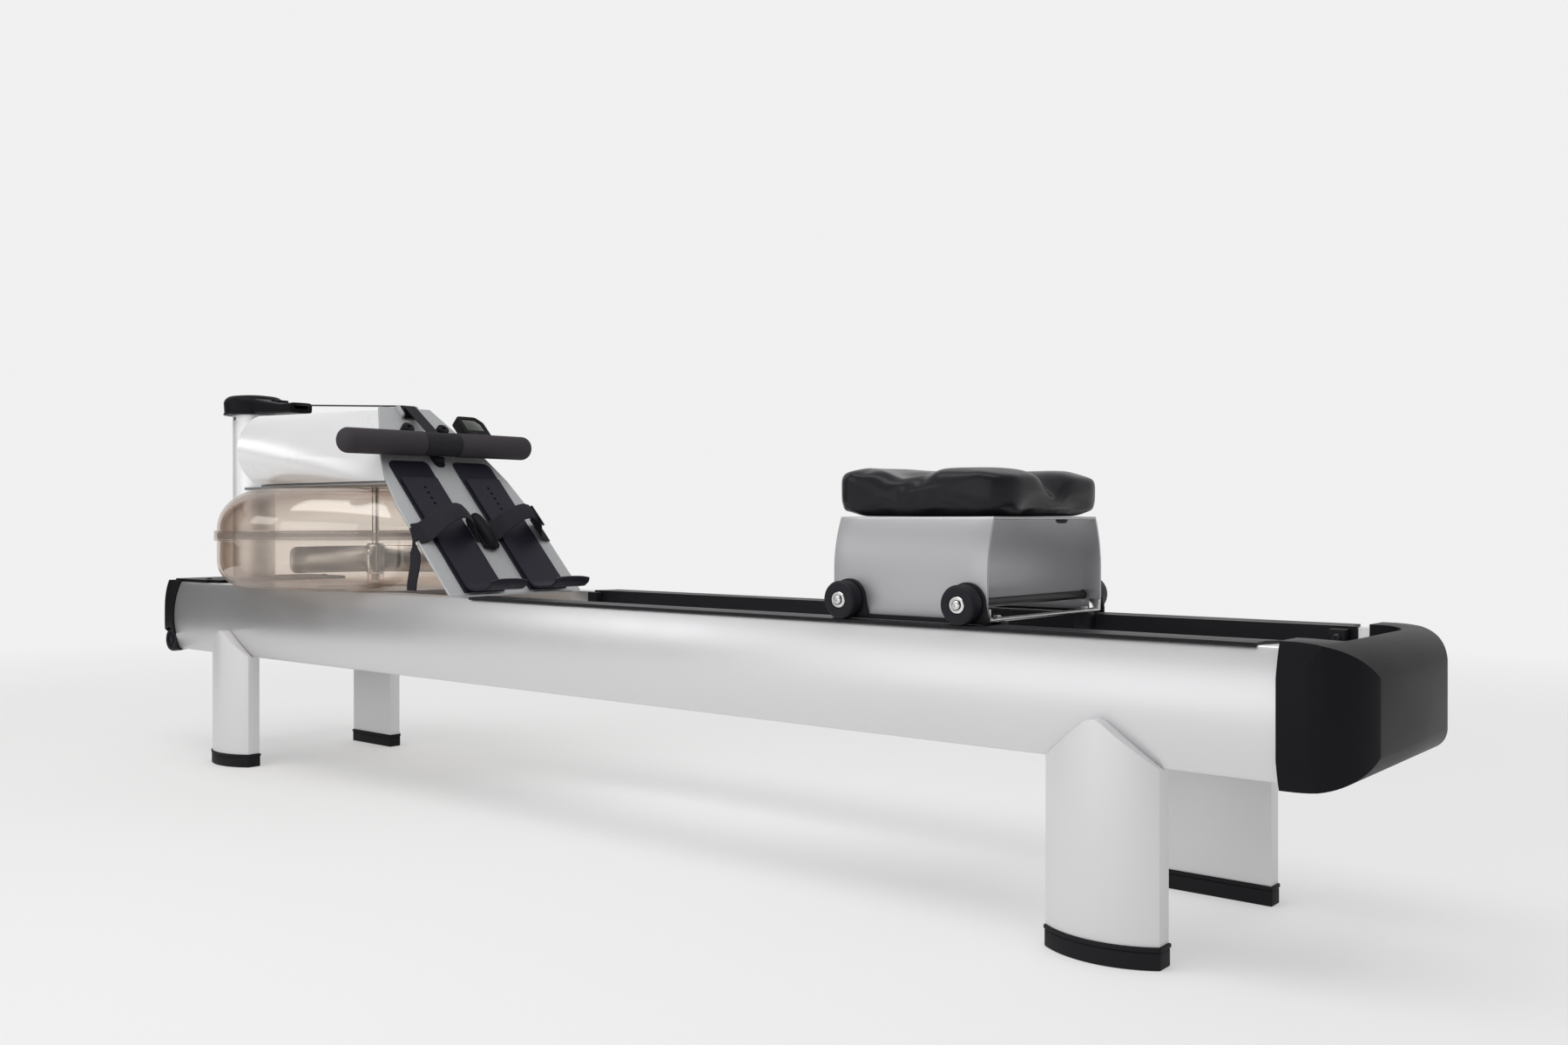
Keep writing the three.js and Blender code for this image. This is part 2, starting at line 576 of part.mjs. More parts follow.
function frontEndCap() {
  const start = RAIL_FRONT - GAP;
  const wide = RAIL_BULGE_Y + CAP_PROUD + 2;
  const plan = shapeOf(
    rounded([[capFront, -wide, 16], [start, -wide], [start, wide], [capFront, wide, 16]], 5),
  );
  const outer = common(alongX(barrelWhole(CAP_PROUD), capFront, start), alongZ(plan, -BIG, BIG));
  const inner = alongX(barrelWhole(CAP_PROUD - CAP_WALL), capFront + CAP_WALL, BIG);
  const under = RAIL_TOP + GAP;
  const plate = box(capFront + 8, CAP_PLATE_TAIL, -RAIL_TOP_Y + 3, RAIL_TOP_Y - 3, under, under + CAP_PLATE);
  const wellInner = TRANSPORT_OUTER_Y - TRANSPORT_WIDTH - 3;
  const shell = cut(
    outer,
    inner,
    rodY(transportX, TRANSPORT_Z, TRANSPORT_R + 3, wellInner, BIG),
    rodY(transportX, TRANSPORT_Z, TRANSPORT_R + 3, -BIG, -wellInner),
  );
  const cheek = box(capFront + 2, start, wellInner - 5, wellInner, RAIL_BOTTOM + 1, TRANSPORT_Z + 32);
  const body = join(shell, plate, cheek, mirrored(cheek));
  add(
    "front_end_cap",
    cut(
      body,
      rodZ(COLUMN_X, 0, COLUMN_R + GAP, RAIL_TOP - 30, BIG, 36),
      rodY(transportX, TRANSPORT_Z, TRANSPORT_AXLE_R + RUN, -wellInner - 6, wellInner + 6),
    ),
    blackPlastic,
  );
  const y0 = TRANSPORT_OUTER_Y - TRANSPORT_WIDTH;
  const edge = -TRANSPORT_OUTER_Y;
  const tread = [[0, edge], [TRANSPORT_R - 2, edge], [TRANSPORT_R, edge + 3]];
  const neck = [[TRANSPORT_R, -y0], [TRANSPORT_AXLE_R, -y0]];
  const half = [...tread, ...neck];
  const whole = [...half, ...half.map(([r, y]) => [r, -y]).reverse()];
  add("transport_wheelset", turnedY(whole, transportX, TRANSPORT_Z, 22), blackRubber);
}

function tank() {
  const corner = (radius, a0, a1, z) =>
    Array.from({ length: 5 }, (_, k) => {
      const a = THREE.MathUtils.degToRad(a0 + ((a1 - a0) * k) / 4);
      return [TANK_R - TANK_CORNER + radius * Math.cos(a), z + radius * Math.sin(a)];
    });
  const floor = RAIL_TOP + GAP;
  const lowZ = floor + TANK_CORNER;
  const shoulder = (inset) =>
    Array.from({ length: 6 }, (_, k) => {
      const a = (Math.PI / 2) * (k / 5);
      return [
        TANK_R - TANK_SHOULDER_WIDTH + (TANK_SHOULDER_WIDTH - inset) * Math.cos(a),
        TANK_TOP_Z - TANK_SHOULDER_HEIGHT + (TANK_SHOULDER_HEIGHT - inset) * Math.sin(a),
      ];
    });
  const thin = TANK_CORNER - TANK_WALL;
  const seamLow = TANK_SEAM_Z - GAP / 2;
  const seamHigh = TANK_SEAM_Z + GAP / 2;
  const bossR = 14;
  const bore = SHAFT_R + RUN;
  const lower = [
    [0, floor],
    ...corner(TANK_CORNER, -90, 0, lowZ),
    [TANK_R, seamLow - TANK_FLANGE_HEIGHT],
    [TANK_FLANGE_R, seamLow - TANK_FLANGE_HEIGHT],
    [TANK_FLANGE_R, seamLow],
    [TANK_R - TANK_WALL, seamLow],
    ...corner(thin, 0, -90, lowZ),
    [bossR, floor + TANK_WALL],
    [bossR, floor + 20],
    [bore, floor + 20],
    [bore, floor + 8],
    [0, floor + 8],
  ];
  add("tank_lower_shell", turnedZ(lower, TANK_X, 0, TANK_SIDES), smokyClear);
  const neckR = 30;
  const upper = [
    [TANK_R - TANK_WALL, seamHigh],
    [TANK_FLANGE_R, seamHigh],
    [TANK_FLANGE_R, seamHigh + TANK_FLANGE_HEIGHT],
    [TANK_R, seamHigh + TANK_FLANGE_HEIGHT],
    ...shoulder(0),
    [neckR, TANK_TOP_Z],
    [neckR, DECK_Z0 - GAP],
    [bore, DECK_Z0 - GAP],
    [bore, TANK_TOP_Z - TANK_WALL],
    ...shoulder(TANK_WALL).reverse(),
    [TANK_R - TANK_WALL, seamHigh],
  ];
  add("tank_upper_shell", turnedZ(upper, TANK_X, 0, TANK_SIDES), smokyClear);
}

function driveTrain() {
  const shaftFoot = RAIL_TOP + GAP + 8 + GAP;
  const hub = rodZ(TANK_X, 0, 15, PADDLE_Z0 - 4, PADDLE_Z0 + PADDLE_HEIGHT + 4);
  const blades = Array.from({ length: PADDLE_COUNT }, (_, k) =>
    box(8, PADDLE_R, -PADDLE_THICK / 2, PADDLE_THICK / 2, PADDLE_Z0, PADDLE_Z0 + PADDLE_HEIGHT)
      .rotateZ((2 * Math.PI * k) / PADDLE_COUNT + Math.PI / 8)
      .translate(TANK_X, 0, 0),
  );
  add("impeller", join(rodZ(TANK_X, 0, SHAFT_R, shaftFoot, SHAFT_TOP_Z), hub, ...blades), brightSteel);
  const low = DRUM_Z - DRUM_HEIGHT / 2;
  const high = DRUM_Z + DRUM_HEIGHT / 2;
  const bore = SHAFT_R + RUN;
  const profile = [
    [bore, low],
    [DRUM_FLANGE_R, low],
    [DRUM_FLANGE_R, low + 3],
    [DRUM_CORE_R, low + 3],
    [DRUM_CORE_R, high - 3],
    [DRUM_FLANGE_R, high - 3],
    [DRUM_FLANGE_R, high],
    [bore, high],
    [bore, low],
  ];
  add("strap_drum", turnedZ(profile, TANK_X, 0, 28), blackPlastic);
  const edge = PULLEY_HALF_WIDTH;
  const pulley = [
    [PULLEY_PIN_R + RUN, -edge],
    [PULLEY_FLANGE_R, -edge],
    [PULLEY_FLANGE_R, 1.2 - edge],
    [PULLEY_R, 1.2 - edge],
    [PULLEY_R, edge - 1.2],
    [PULLEY_FLANGE_R, edge - 1.2],
    [PULLEY_FLANGE_R, edge],
    [PULLEY_PIN_R + RUN, edge],
    [PULLEY_PIN_R + RUN, -edge],
  ];
  add("cap_pulley", turnedY(pulley, COLUMN_X, PULLEY_Z, 28), blackPlastic);
  const [rx, rz] = onBoard(ROLLER_S, 0);
  const half = ROLLER_HALF_WIDTH;
  const roller = [
    [0, -half - 6],
    [ROLLER_PIN_R, -half - 6],
    [ROLLER_PIN_R, -half],
    [ROLLER_R, -half],
    [ROLLER_R, half],
    [ROLLER_PIN_R, half],
    [ROLLER_PIN_R, half + 6],
    [0, half + 6],
  ];
  add("guide_roller", turnedY(roller, rx, rz, 20), blackPlastic);
}

const boardBackX = (z) =>
  BOARD_X - ((z - BOARD_Z) * Math.cos(BOARD_ANGLE) + BOARD_THICK) / Math.sin(BOARD_ANGLE);

function deckPlate() {
  const front = COLUMN_X + COLUMN_R + GAP;
  const tail = boardBackX(DECK_Z1) - GAP * 1.5;
  const flare = HOOD_FRONT - 10;
  const plan = shapeOf(
    rounded([
      [front, -DECK_TONGUE],
      [flare - 40, -DECK_TONGUE, 20],
      [flare, -DECK_HALF_WIDTH, 20],
      [tail, -DECK_HALF_WIDTH],
      [tail, DECK_HALF_WIDTH],
      [flare, DECK_HALF_WIDTH, 20],
      [flare - 40, DECK_TONGUE, 20],
      [front, DECK_TONGUE],
    ]),
  );
  const hole = rodZ(TANK_X, 0, SHAFT_R + RUN, DECK_Z0 - 5, DECK_Z1 + 5);
  const columnRoom = rodZ(COLUMN_X, 0, COLUMN_R + GAP, DECK_Z0 - 5, DECK_Z1 + 5, 36);
  const tongue = box(front - 12, front + 2, -DECK_TONGUE, DECK_TONGUE, DECK_Z0, DECK_Z1);
  add("deck_plate", cut(join(alongZ(plan, DECK_Z0, DECK_Z1), tongue), hole, columnRoom), silverPaint);
}

// The hood is drawn straight from a round-sided front section to the footboard's narrowing back.
function hood() {
  const low = DECK_Z1 + GAP;
  const frontHalf = (z) => HOOD_BULGE_Y - HOOD_SIDE_R + Math.sqrt(HOOD_SIDE_R ** 2 - (z - HOOD_BULGE_Z) ** 2);
  const tailHalf = (z) => boardHalfWidth((z - BOARD_Z) / Math.sin(BOARD_ANGLE)) - HOOD_TUCK;
  const tailX = (z) => boardBackX(z) - GAP * 1.5;
  const halfAt = (x, z) =>
    frontHalf(z) + ((tailHalf(z) - frontHalf(z)) * (x - HOOD_FRONT)) / (tailX(z) - HOOD_FRONT);
  const loft = (inset, front, reachTail, bottom) => {
    const steps = 14;
    const top = HOOD_TOP - inset;
    const heights = Array.from({ length: steps + 1 }, (_, k) => low + ((top - low) * k) / steps);
    const ring = (xOf) => {
      const foot = (z, k) => (k === 0 ? bottom : z);
      const right = heights.map((z, k) => new THREE.Vector3(xOf(z), halfAt(xOf(z), z) - inset, foot(z, k)));
      return [...right, ...right.map((p) => new THREE.Vector3(p.x, -p.y, p.z)).reverse()];
    };
    return skin([ring(() => front), ring((z) => tailX(z) + reachTail)]);
  };
  const outer = loft(0, HOOD_FRONT, 0, low);
  const inner = loft(HOOD_SHEET, HOOD_FRONT + HOOD_SHEET, 30, low - 20);
  const lowerRun = PULLEY_Z - PULLEY_R;
  const [slotFront, slotTail] = [HOOD_FRONT - 5, HOOD_FRONT + 5];
  const slot = box(slotFront, slotTail, -SLOT_HALF_WIDTH, SLOT_HALF_WIDTH, lowerRun - 20, lowerRun + 8);
  const [rollerX, rollerZ] = onBoard(ROLLER_S, 0);
  const room = ROLLER_HALF_WIDTH + 2;
  const notch = box(rollerX - ROLLER_R - 3, BIG, -room, room, rollerZ - ROLLER_R - 3, BIG);
  add("hood", cut(outer, inner, slot, notch), satinAluminium);
}

function column() {
  const foot = FRONT_MEMBER.z1 + GAP;
  const wall = [
    [COLUMN_R - COLUMN_WALL, foot],
    [COLUMN_R, foot],
    [COLUMN_R, COLUMN_TOP],
    [COLUMN_R - COLUMN_WALL, COLUMN_TOP],
    [COLUMN_R - COLUMN_WALL, foot],
  ];
  const lowerRun = PULLEY_Z - PULLEY_R;
  const slotHalf = STRAP_WIDTH / 2 + 3;
  const slot = box(COLUMN_X, COLUMN_X + 60, -slotHalf, slotHalf, lowerRun - 8, lowerRun + 8);
  const pin = rodY(COLUMN_X, PULLEY_Z, PULLEY_PIN_R, -COLUMN_R - 1, COLUMN_R + 1);
  add("front_column", join(cut(turnedZ(wall, COLUMN_X, 0, 36), slot), pin), satinAluminium);

  const bottom = COLUMN_TOP + GAP;
  const dome = Array.from({ length: 5 }, (_, k) => {
    const a = (Math.PI / 2) * (k / 4);
    return [HEAD_R - 14 + 14 * Math.cos(a), HEAD_TOP - 14 + 14 * Math.sin(a)];
  });
  const head = turnedZ([[0, bottom], [HEAD_R, bottom], ...dome, [0, HEAD_TOP]], COLUMN_X, 0, 32);
  const arm = alongY(
    shapeOf([
      [COLUMN_X, bottom],
      [COLUMN_X + HEAD_R, bottom],
      [ARM_TIP_X, bottom - 3],
      [ARM_TIP_X, bottom + 16],
      [COLUMN_X + 113, bottom + 20],
      [COLUMN_X + 53, HEAD_TOP - 4],
      [COLUMN_X, HEAD_TOP - 4],
    ]),
    -ARM_HALF_WIDTH,
    ARM_HALF_WIDTH,
  );
  const innerTop = HEAD_TOP - HEAD_WALL;
  const [low, wide] = [bottom + HEAD_WALL, HEAD_R - HEAD_WALL];
  const hollow = [[0, low], [wide, low], [wide, innerTop - 12], [HEAD_R - 16, innerTop], [0, innerTop]];
  const room = turnedZ(hollow, COLUMN_X, 0, 32);
  const channel = alongY(
    shapeOf([
      [COLUMN_X, bottom + HEAD_WALL],
      [ARM_TIP_X + 5, bottom + 1],
      [ARM_TIP_X + 5, bottom + 13],
      [COLUMN_X + 113, bottom + 17],
      [COLUMN_X + 53, innerTop - 4],
      [COLUMN_X, innerTop - 4],
    ]),
    -ARM_HALF_WIDTH + HEAD_WALL,
    ARM_HALF_WIDTH - HEAD_WALL,
  );
  const bore = rodZ(COLUMN_X, 0, COLUMN_R - COLUMN_WALL, bottom - 5, bottom + 8, 36);
  add("column_cap", cut(join(head, arm), room, channel, bore), blackPlastic);
}

function footboard() {
  const edge = [[-6, BOARD_HALF_WIDTH], ...TAPER].map(([s, w]) => [w, s]);
  const curved = [edge[0], ...new THREE.SplineCurve(edge.slice(1).map(([w, s]) => new THREE.Vector2(w, s)))
    .getPoints(14)
    .map((p) => [p.x, p.y])];
  const outline = shapeOf([...curved, ...curved.map(([y, s]) => [-y, s]).reverse()]);
  const plate = alongN(outline, -BOARD_THICK, 0);
  const lugY = ROLLER_HALF_WIDTH + 1.5;
  const lug = boardBox(lugY, lugY + 5, ROLLER_S - 14, BOARD_LENGTH - 4, -BOARD_THICK, 6);
  const notch = boardBox(-lugY, lugY, ROLLER_S - ROLLER_R - 6, BOARD_LENGTH + 20, -BIG, BIG);
  const [rx, rz] = onBoard(ROLLER_S, 0);
  const foot = RAIL_TOP + GAP;
  const body = cut(join(plate, lug, mirrored(lug)), notch);
  const sockets = rodY(rx, rz, ROLLER_PIN_R + RUN, -lugY - 6, lugY + 6);
  const below = box(-BIG, BIG, -BIG, BIG, -BIG, foot);
  add("footboard", cut(body, sockets, below), silverPaint);
}

function footRests() {
  const pad = shapeOf(
    rounded([
      [PAD_INNER_Y, 3],
      [PAD_OUTER_Y, 3],
      [PAD_OUTER_Y, PAD_TOP_S - 10, 8],
      [PAD_OUTER_Y - 6, PAD_TOP_S, 8],
      [PAD_INNER_Y, PAD_TOP_S, 8],
    ]),
  );
  addPair("foot_pad", alongN(pad, GAP, GAP + PAD_THICK), blackRubber);

  const base = GAP + PAD_THICK + GAP;
  const lip = [[30, 0], [12, 0.4], [2, 4], [-7, 12], [-17, 23], [-26, 34], [-28, 44], [-25, 50]];
  const backs = lip.map(([s, n]) => [s, n + base]);
  const fronts = lip.map(([s, n], k) => {
    const [s0, n0] = lip[Math.max(k - 1, 0)];
    const [s1, n1] = lip[Math.min(k + 1, lip.length - 1)];
    const length = Math.hypot(s1 - s0, n1 - n0);
    return [s + ((n1 - n0) / length) * HEEL_THICK, n + base + ((s0 - s1) / length) * HEEL_THICK];
  });
  const section = [[HEEL_TOP_S, base], ...backs, ...fronts.reverse(), [HEEL_TOP_S, base + HEEL_THICK]];
  const world = section.map(([s, n]) => onBoard(s, n));
  const plate = alongY(shapeOf(world), HEEL_INNER_Y, HEEL_OUTER_Y);
  const holes = Array.from({ length: HEEL_HOLE_COUNT }, (_, k) => {
    const s = HEEL_TOP_S - 22 - k * HEEL_HOLE_PITCH;
    const [x, z] = onBoard(s, base + HEEL_THICK / 2);
    return new THREE.CylinderGeometry(HEEL_HOLE_R, HEEL_HOLE_R, HEEL_THICK + 4, 8)
      .rotateX(Math.PI / 2)
      .rotateY(BOARD_ANGLE)
      .translate(x, (HEEL_INNER_Y + HEEL_OUTER_Y) / 2, z);
  });
  addPair("heel_plate", cut(plate, ...holes), blackPlastic);
}

function footStraps() {
  // An arch in (y, n) from the board's edge to its middle, with a flat foot at each end.
  const foot = BOARD_HALF_WIDTH - 2.5;
  const [near, far] = [21, foot - 20];
  const rise = [[9, 18], [23, WEB_RISE - 12], [43, WEB_RISE - 4], [63, WEB_RISE - 12], [77, 18]];
  const crown = rise.map(([step, n]) => [near + (step * (far - near)) / 83, n]);
  const line = [[7, 0], [near, 0], ...crown, [far, 0], [foot, 0]];
  const n0 = GAP + WEB_THICK / 2;
  const width = WEB_WIDTH;
  const station = ([y, n], k) => {
    const [y0, a] = line[Math.max(k - 1, 0)];
    const [y1, b] = line[Math.min(k + 1, line.length - 1)];
    const length = Math.hypot(y1 - y0, b - a);
    const [x, z] = onBoard(WEB_S, n + n0);
    return {
      at: new THREE.Vector3(x, y, z),
      across: new THREE.Vector3(up[0], 0, up[1]),
      through: new THREE.Vector3(out[0] * (y1 - y0), a - b, out[1] * (y1 - y0)).divideScalar(length),
    };
  };
  const arch = band(line.map(station), width, WEB_THICK);
  add("right_foot_strap", arch, blackWebbing);
  // The left strap's spare end hangs beside the board's edge.
  const y1 = BOARD_HALF_WIDTH + GAP + WEB_THICK;
  const [hx, hz] = onBoard(WEB_S, 0);
  const [s0, s1] = [WEB_S - width / 2, WEB_S + width / 2];
  const over = boardBox(-y1, 6.5 - BOARD_HALF_WIDTH, s0, s1, GAP, GAP + WEB_THICK);
  const spare = box(hx - 14, hx + 14, -y1, -BOARD_HALF_WIDTH - GAP, RAIL_TOP + 5, hz + 3);
  add("left_foot_strap", join(mirrored(arch), over, spare), blackWebbing);
}

function handleRest() {
  const plate = alongN(
    shapeOf(
      rounded([
        [-11, 284, 5],
        [11, 284, 5],
        [14, 350, 6],
        [38, 362, 9],
        [38, 384, 9],
        [16, 384, 6],
        [15, 366],
        [-15, 366],
        [-16, 384, 6],
        [-38, 384, 9],
        [-38, 362, 9],
        [-14, 350, 6],
      ]),
    ),
    GAP,
    GAP + 2.2,
  );
  const bolt = (y) => {
    const head = new THREE.Shape().absarc(y, 373, 7.5, 0, 2 * Math.PI);
    return alongN(head, GAP + 1, 9);
  };
  const reach = GRIP_R + GAP;
  const trough = Array.from({ length: 9 }, (_, k) => {
    const a = Math.PI + ((Math.PI / 2) * k) / 8;
    return [HANDLE_X + reach * Math.cos(a), HANDLE_Z + reach * Math.sin(a)];
  });
  const face = (z) => BOARD_X - (z - BOARD_Z) / Math.tan(BOARD_ANGLE) + 1;
  const foot = HANDLE_Z - reach - 9;
  const cradle = alongY(
    shapeOf([
      [face(HANDLE_Z), HANDLE_Z],
      ...trough,
      [HANDLE_X + 2, HANDLE_Z - reach - 3],
      [HANDLE_X + 1, foot],
      [face(foot), foot],
    ]),
    -10,
    10,
  );
  add("handle_rest", join(plate, bolt(27), bolt(-27), cradle), blackPlastic);
}

function handle() {
  const barEnd = HANDLE_HALF_LENGTH - 8;
  add("handle_bar", rodY(HANDLE_X, HANDLE_Z, HANDLE_BAR_R, -barEnd, barEnd), brightSteel);
  const bore = HANDLE_BAR_R + GAP;
  const start = WRAP_HALF_WIDTH + GAP;
  const nose = 12;
  const roundEnd = Array.from({ length: 4 }, (_, k) => {
    const a = (Math.PI / 2) * (k / 3);
    return [GRIP_R - nose + nose * Math.cos(a), HANDLE_HALF_LENGTH - nose + nose * Math.sin(a)];
  });
  const profile = [
    [bore, start],
    [GRIP_R, start],
    ...roundEnd,
    [0, HANDLE_HALF_LENGTH],
    [0, HANDLE_HALF_LENGTH - 7],
    [bore, HANDLE_HALF_LENGTH - 7],
    [bore, start],
  ];
  const grip = turnedY(profile, HANDLE_X, HANDLE_Z, 22);
  addPair("grip", grip, blackFoam);
}

const strapLift = STRAP_THICK / 2 + GAP;
const across = new THREE.Vector3(0, 1, 0);

function straps() {
  // The upper line runs from the column's pulley to the roller at the board's top.
  const [rx, rz] = onBoard(ROLLER_S, 0);
  const big = PULLEY_R + strapLift;
  const small = ROLLER_R + strapLift;
  const span = Math.hypot(rx - COLUMN_X, rz - PULLEY_Z);
  const lineAngle = Math.atan2(rz - PULLEY_Z, rx - COLUMN_X) + Math.acos((big - small) / span);
  const around = (cx, cz, radius, angle) => ({
    at: new THREE.Vector3(cx + radius * Math.cos(angle), 0, cz + radius * Math.sin(angle)),
    across,
    through: new THREE.Vector3(Math.cos(angle), 0, Math.sin(angle)),
  });
  const leaveAngle = Math.PI / 2 - BOARD_ANGLE + 0.08;
  const stations = [];
  const turn = (lineAngle - leaveAngle) / 5;
  for (let k = 0; k <= 5; k++) stations.push(around(rx, rz, small, leaveAngle + turn * k));
  for (let k = 0; k <= 14; k++) {
    stations.push(around(COLUMN_X, PULLEY_Z, big, lineAngle + ((1.5 * Math.PI - lineAngle) * k) / 14));
  }
  // The lower line turns on edge on its way to the drum.
  const lowZ = PULLEY_Z - big;
  const startX = COLUMN_X + 60;
  const reach = DRUM_CORE_R + strapLift;
  const lead = Math.asin(reach / (TANK_X - startX));
  const [endX, endY] = [TANK_X - reach * Math.sin(lead), reach * Math.cos(lead)];
  const steps = 10;
  for (let k = 0; k <= steps; k++) {
    const t = k / steps;
    const turn = (Math.PI / 2) * t;
    stations.push({
      at: new THREE.Vector3(startX + (endX - startX) * t, endY * t, lowZ + (DRUM_Z - lowZ) * t),
      across: new THREE.Vector3(0, Math.cos(turn), Math.sin(turn)),
      through: new THREE.Vector3(0, Math.sin(turn), -Math.cos(turn)),
    });
  }
  add("drive_strap", band(stations, STRAP_WIDTH, STRAP_THICK), blackWebbing);

  // The strap's moving end is sewn round the middle of the handle.
  const wrap = turnedY(
    [
      [HANDLE_BAR_R + GAP, -WRAP_HALF_WIDTH],
      [WRAP_R, -WRAP_HALF_WIDTH],
      [WRAP_R, WRAP_HALF_WIDTH],
      [HANDLE_BAR_R + GAP, WRAP_HALF_WIDTH],
      [HANDLE_BAR_R + GAP, -WRAP_HALF_WIDTH],
    ],
    HANDLE_X,
    HANDLE_Z,
    22,
  );
  const leave = around(rx, rz, small, leaveAngle - 0.06);
  const end = new THREE.Vector3(HANDLE_X - 8, 0, HANDLE_Z + WRAP_R - 4);
  const direction = end.clone().sub(leave.at).normalize();
  const through = new THREE.Vector3(-direction.z, 0, direction.x);
  const next = leave.at.clone().addScaledVector(direction, 6);
  const tail = [leave, { at: next, across, through }, { at: end, across, through }];
  add("handle_strap", join(wrap, band(tail, STRAP_WIDTH, STRAP_THICK)), blackWebbing);
}

function monitor() {
  const y1 = MONITOR_Y0 + MONITOR_WIDTH;
  const s1 = MONITOR_S0 + MONITOR_HEIGHT;
  const caseShape = shapeOf(
    rounded([
      [MONITOR_Y0, MONITOR_S0, 7],
      [y1, MONITOR_S0, 7],
      [y1, s1 - 14, 8],
      [y1 - 12, s1, 8],
      [MONITOR_Y0, s1, 7],
    ]),
  );
  const recess = 3;
  const clipped = (y0, y1, s0, s1) => shapeOf([[y0, s0], [y1, s0], [y1, s1 - 8], [y1 - 8, s1], [y0, s1]]);
  const screen = [MONITOR_Y0 + 7, y1 - 7, MONITOR_S0 + 24, s1 - 7];
  const opening = clipped(...screen);
  const buttonAt = [MONITOR_Y0 + 15, y1 - 15];
  const buttonS = MONITOR_S0 + 12;
  const disc = (y, radius) => new THREE.Shape().absarc(y, buttonS, radius, 0, 2 * Math.PI);
  const well = (y) => alongN(disc(y, BUTTON_R + RUN), MONITOR_FACE_N - 6, MONITOR_FACE_N + 2);
  const tab = boardBox(MONITOR_Y0 - 34, MONITOR_Y0 + 5, MONITOR_S0 + 4, MONITOR_S0 + 20, GAP, GAP + 2.5);
  const body = join(alongN(caseShape, MONITOR_BACK_N, MONITOR_FACE_N), tab);
  const tools = [alongN(opening, MONITOR_FACE_N - recess, MONITOR_FACE_N + 2), ...buttonAt.map(well)];
  add("monitor_case", cut(body, ...tools), blackPlastic);
  const [y0, yEnd, s0, sEnd] = screen;
  const pane = clipped(y0 + GAP, yEnd - GAP, s0 + GAP, sEnd - GAP);
  add("monitor_screen", alongN(pane, MONITOR_FACE_N - recess + GAP, MONITOR_FACE_N - 1), displayGlass);
  buttonAt.forEach((y, k) => {
    const floor = MONITOR_FACE_N - 6 + BUTTON_TRAVEL + GAP;
    add("monitor_button_" + (k + 1), alongN(disc(y, BUTTON_R), floor, MONITOR_FACE_N + 1.8), blackRubber);
  });
}

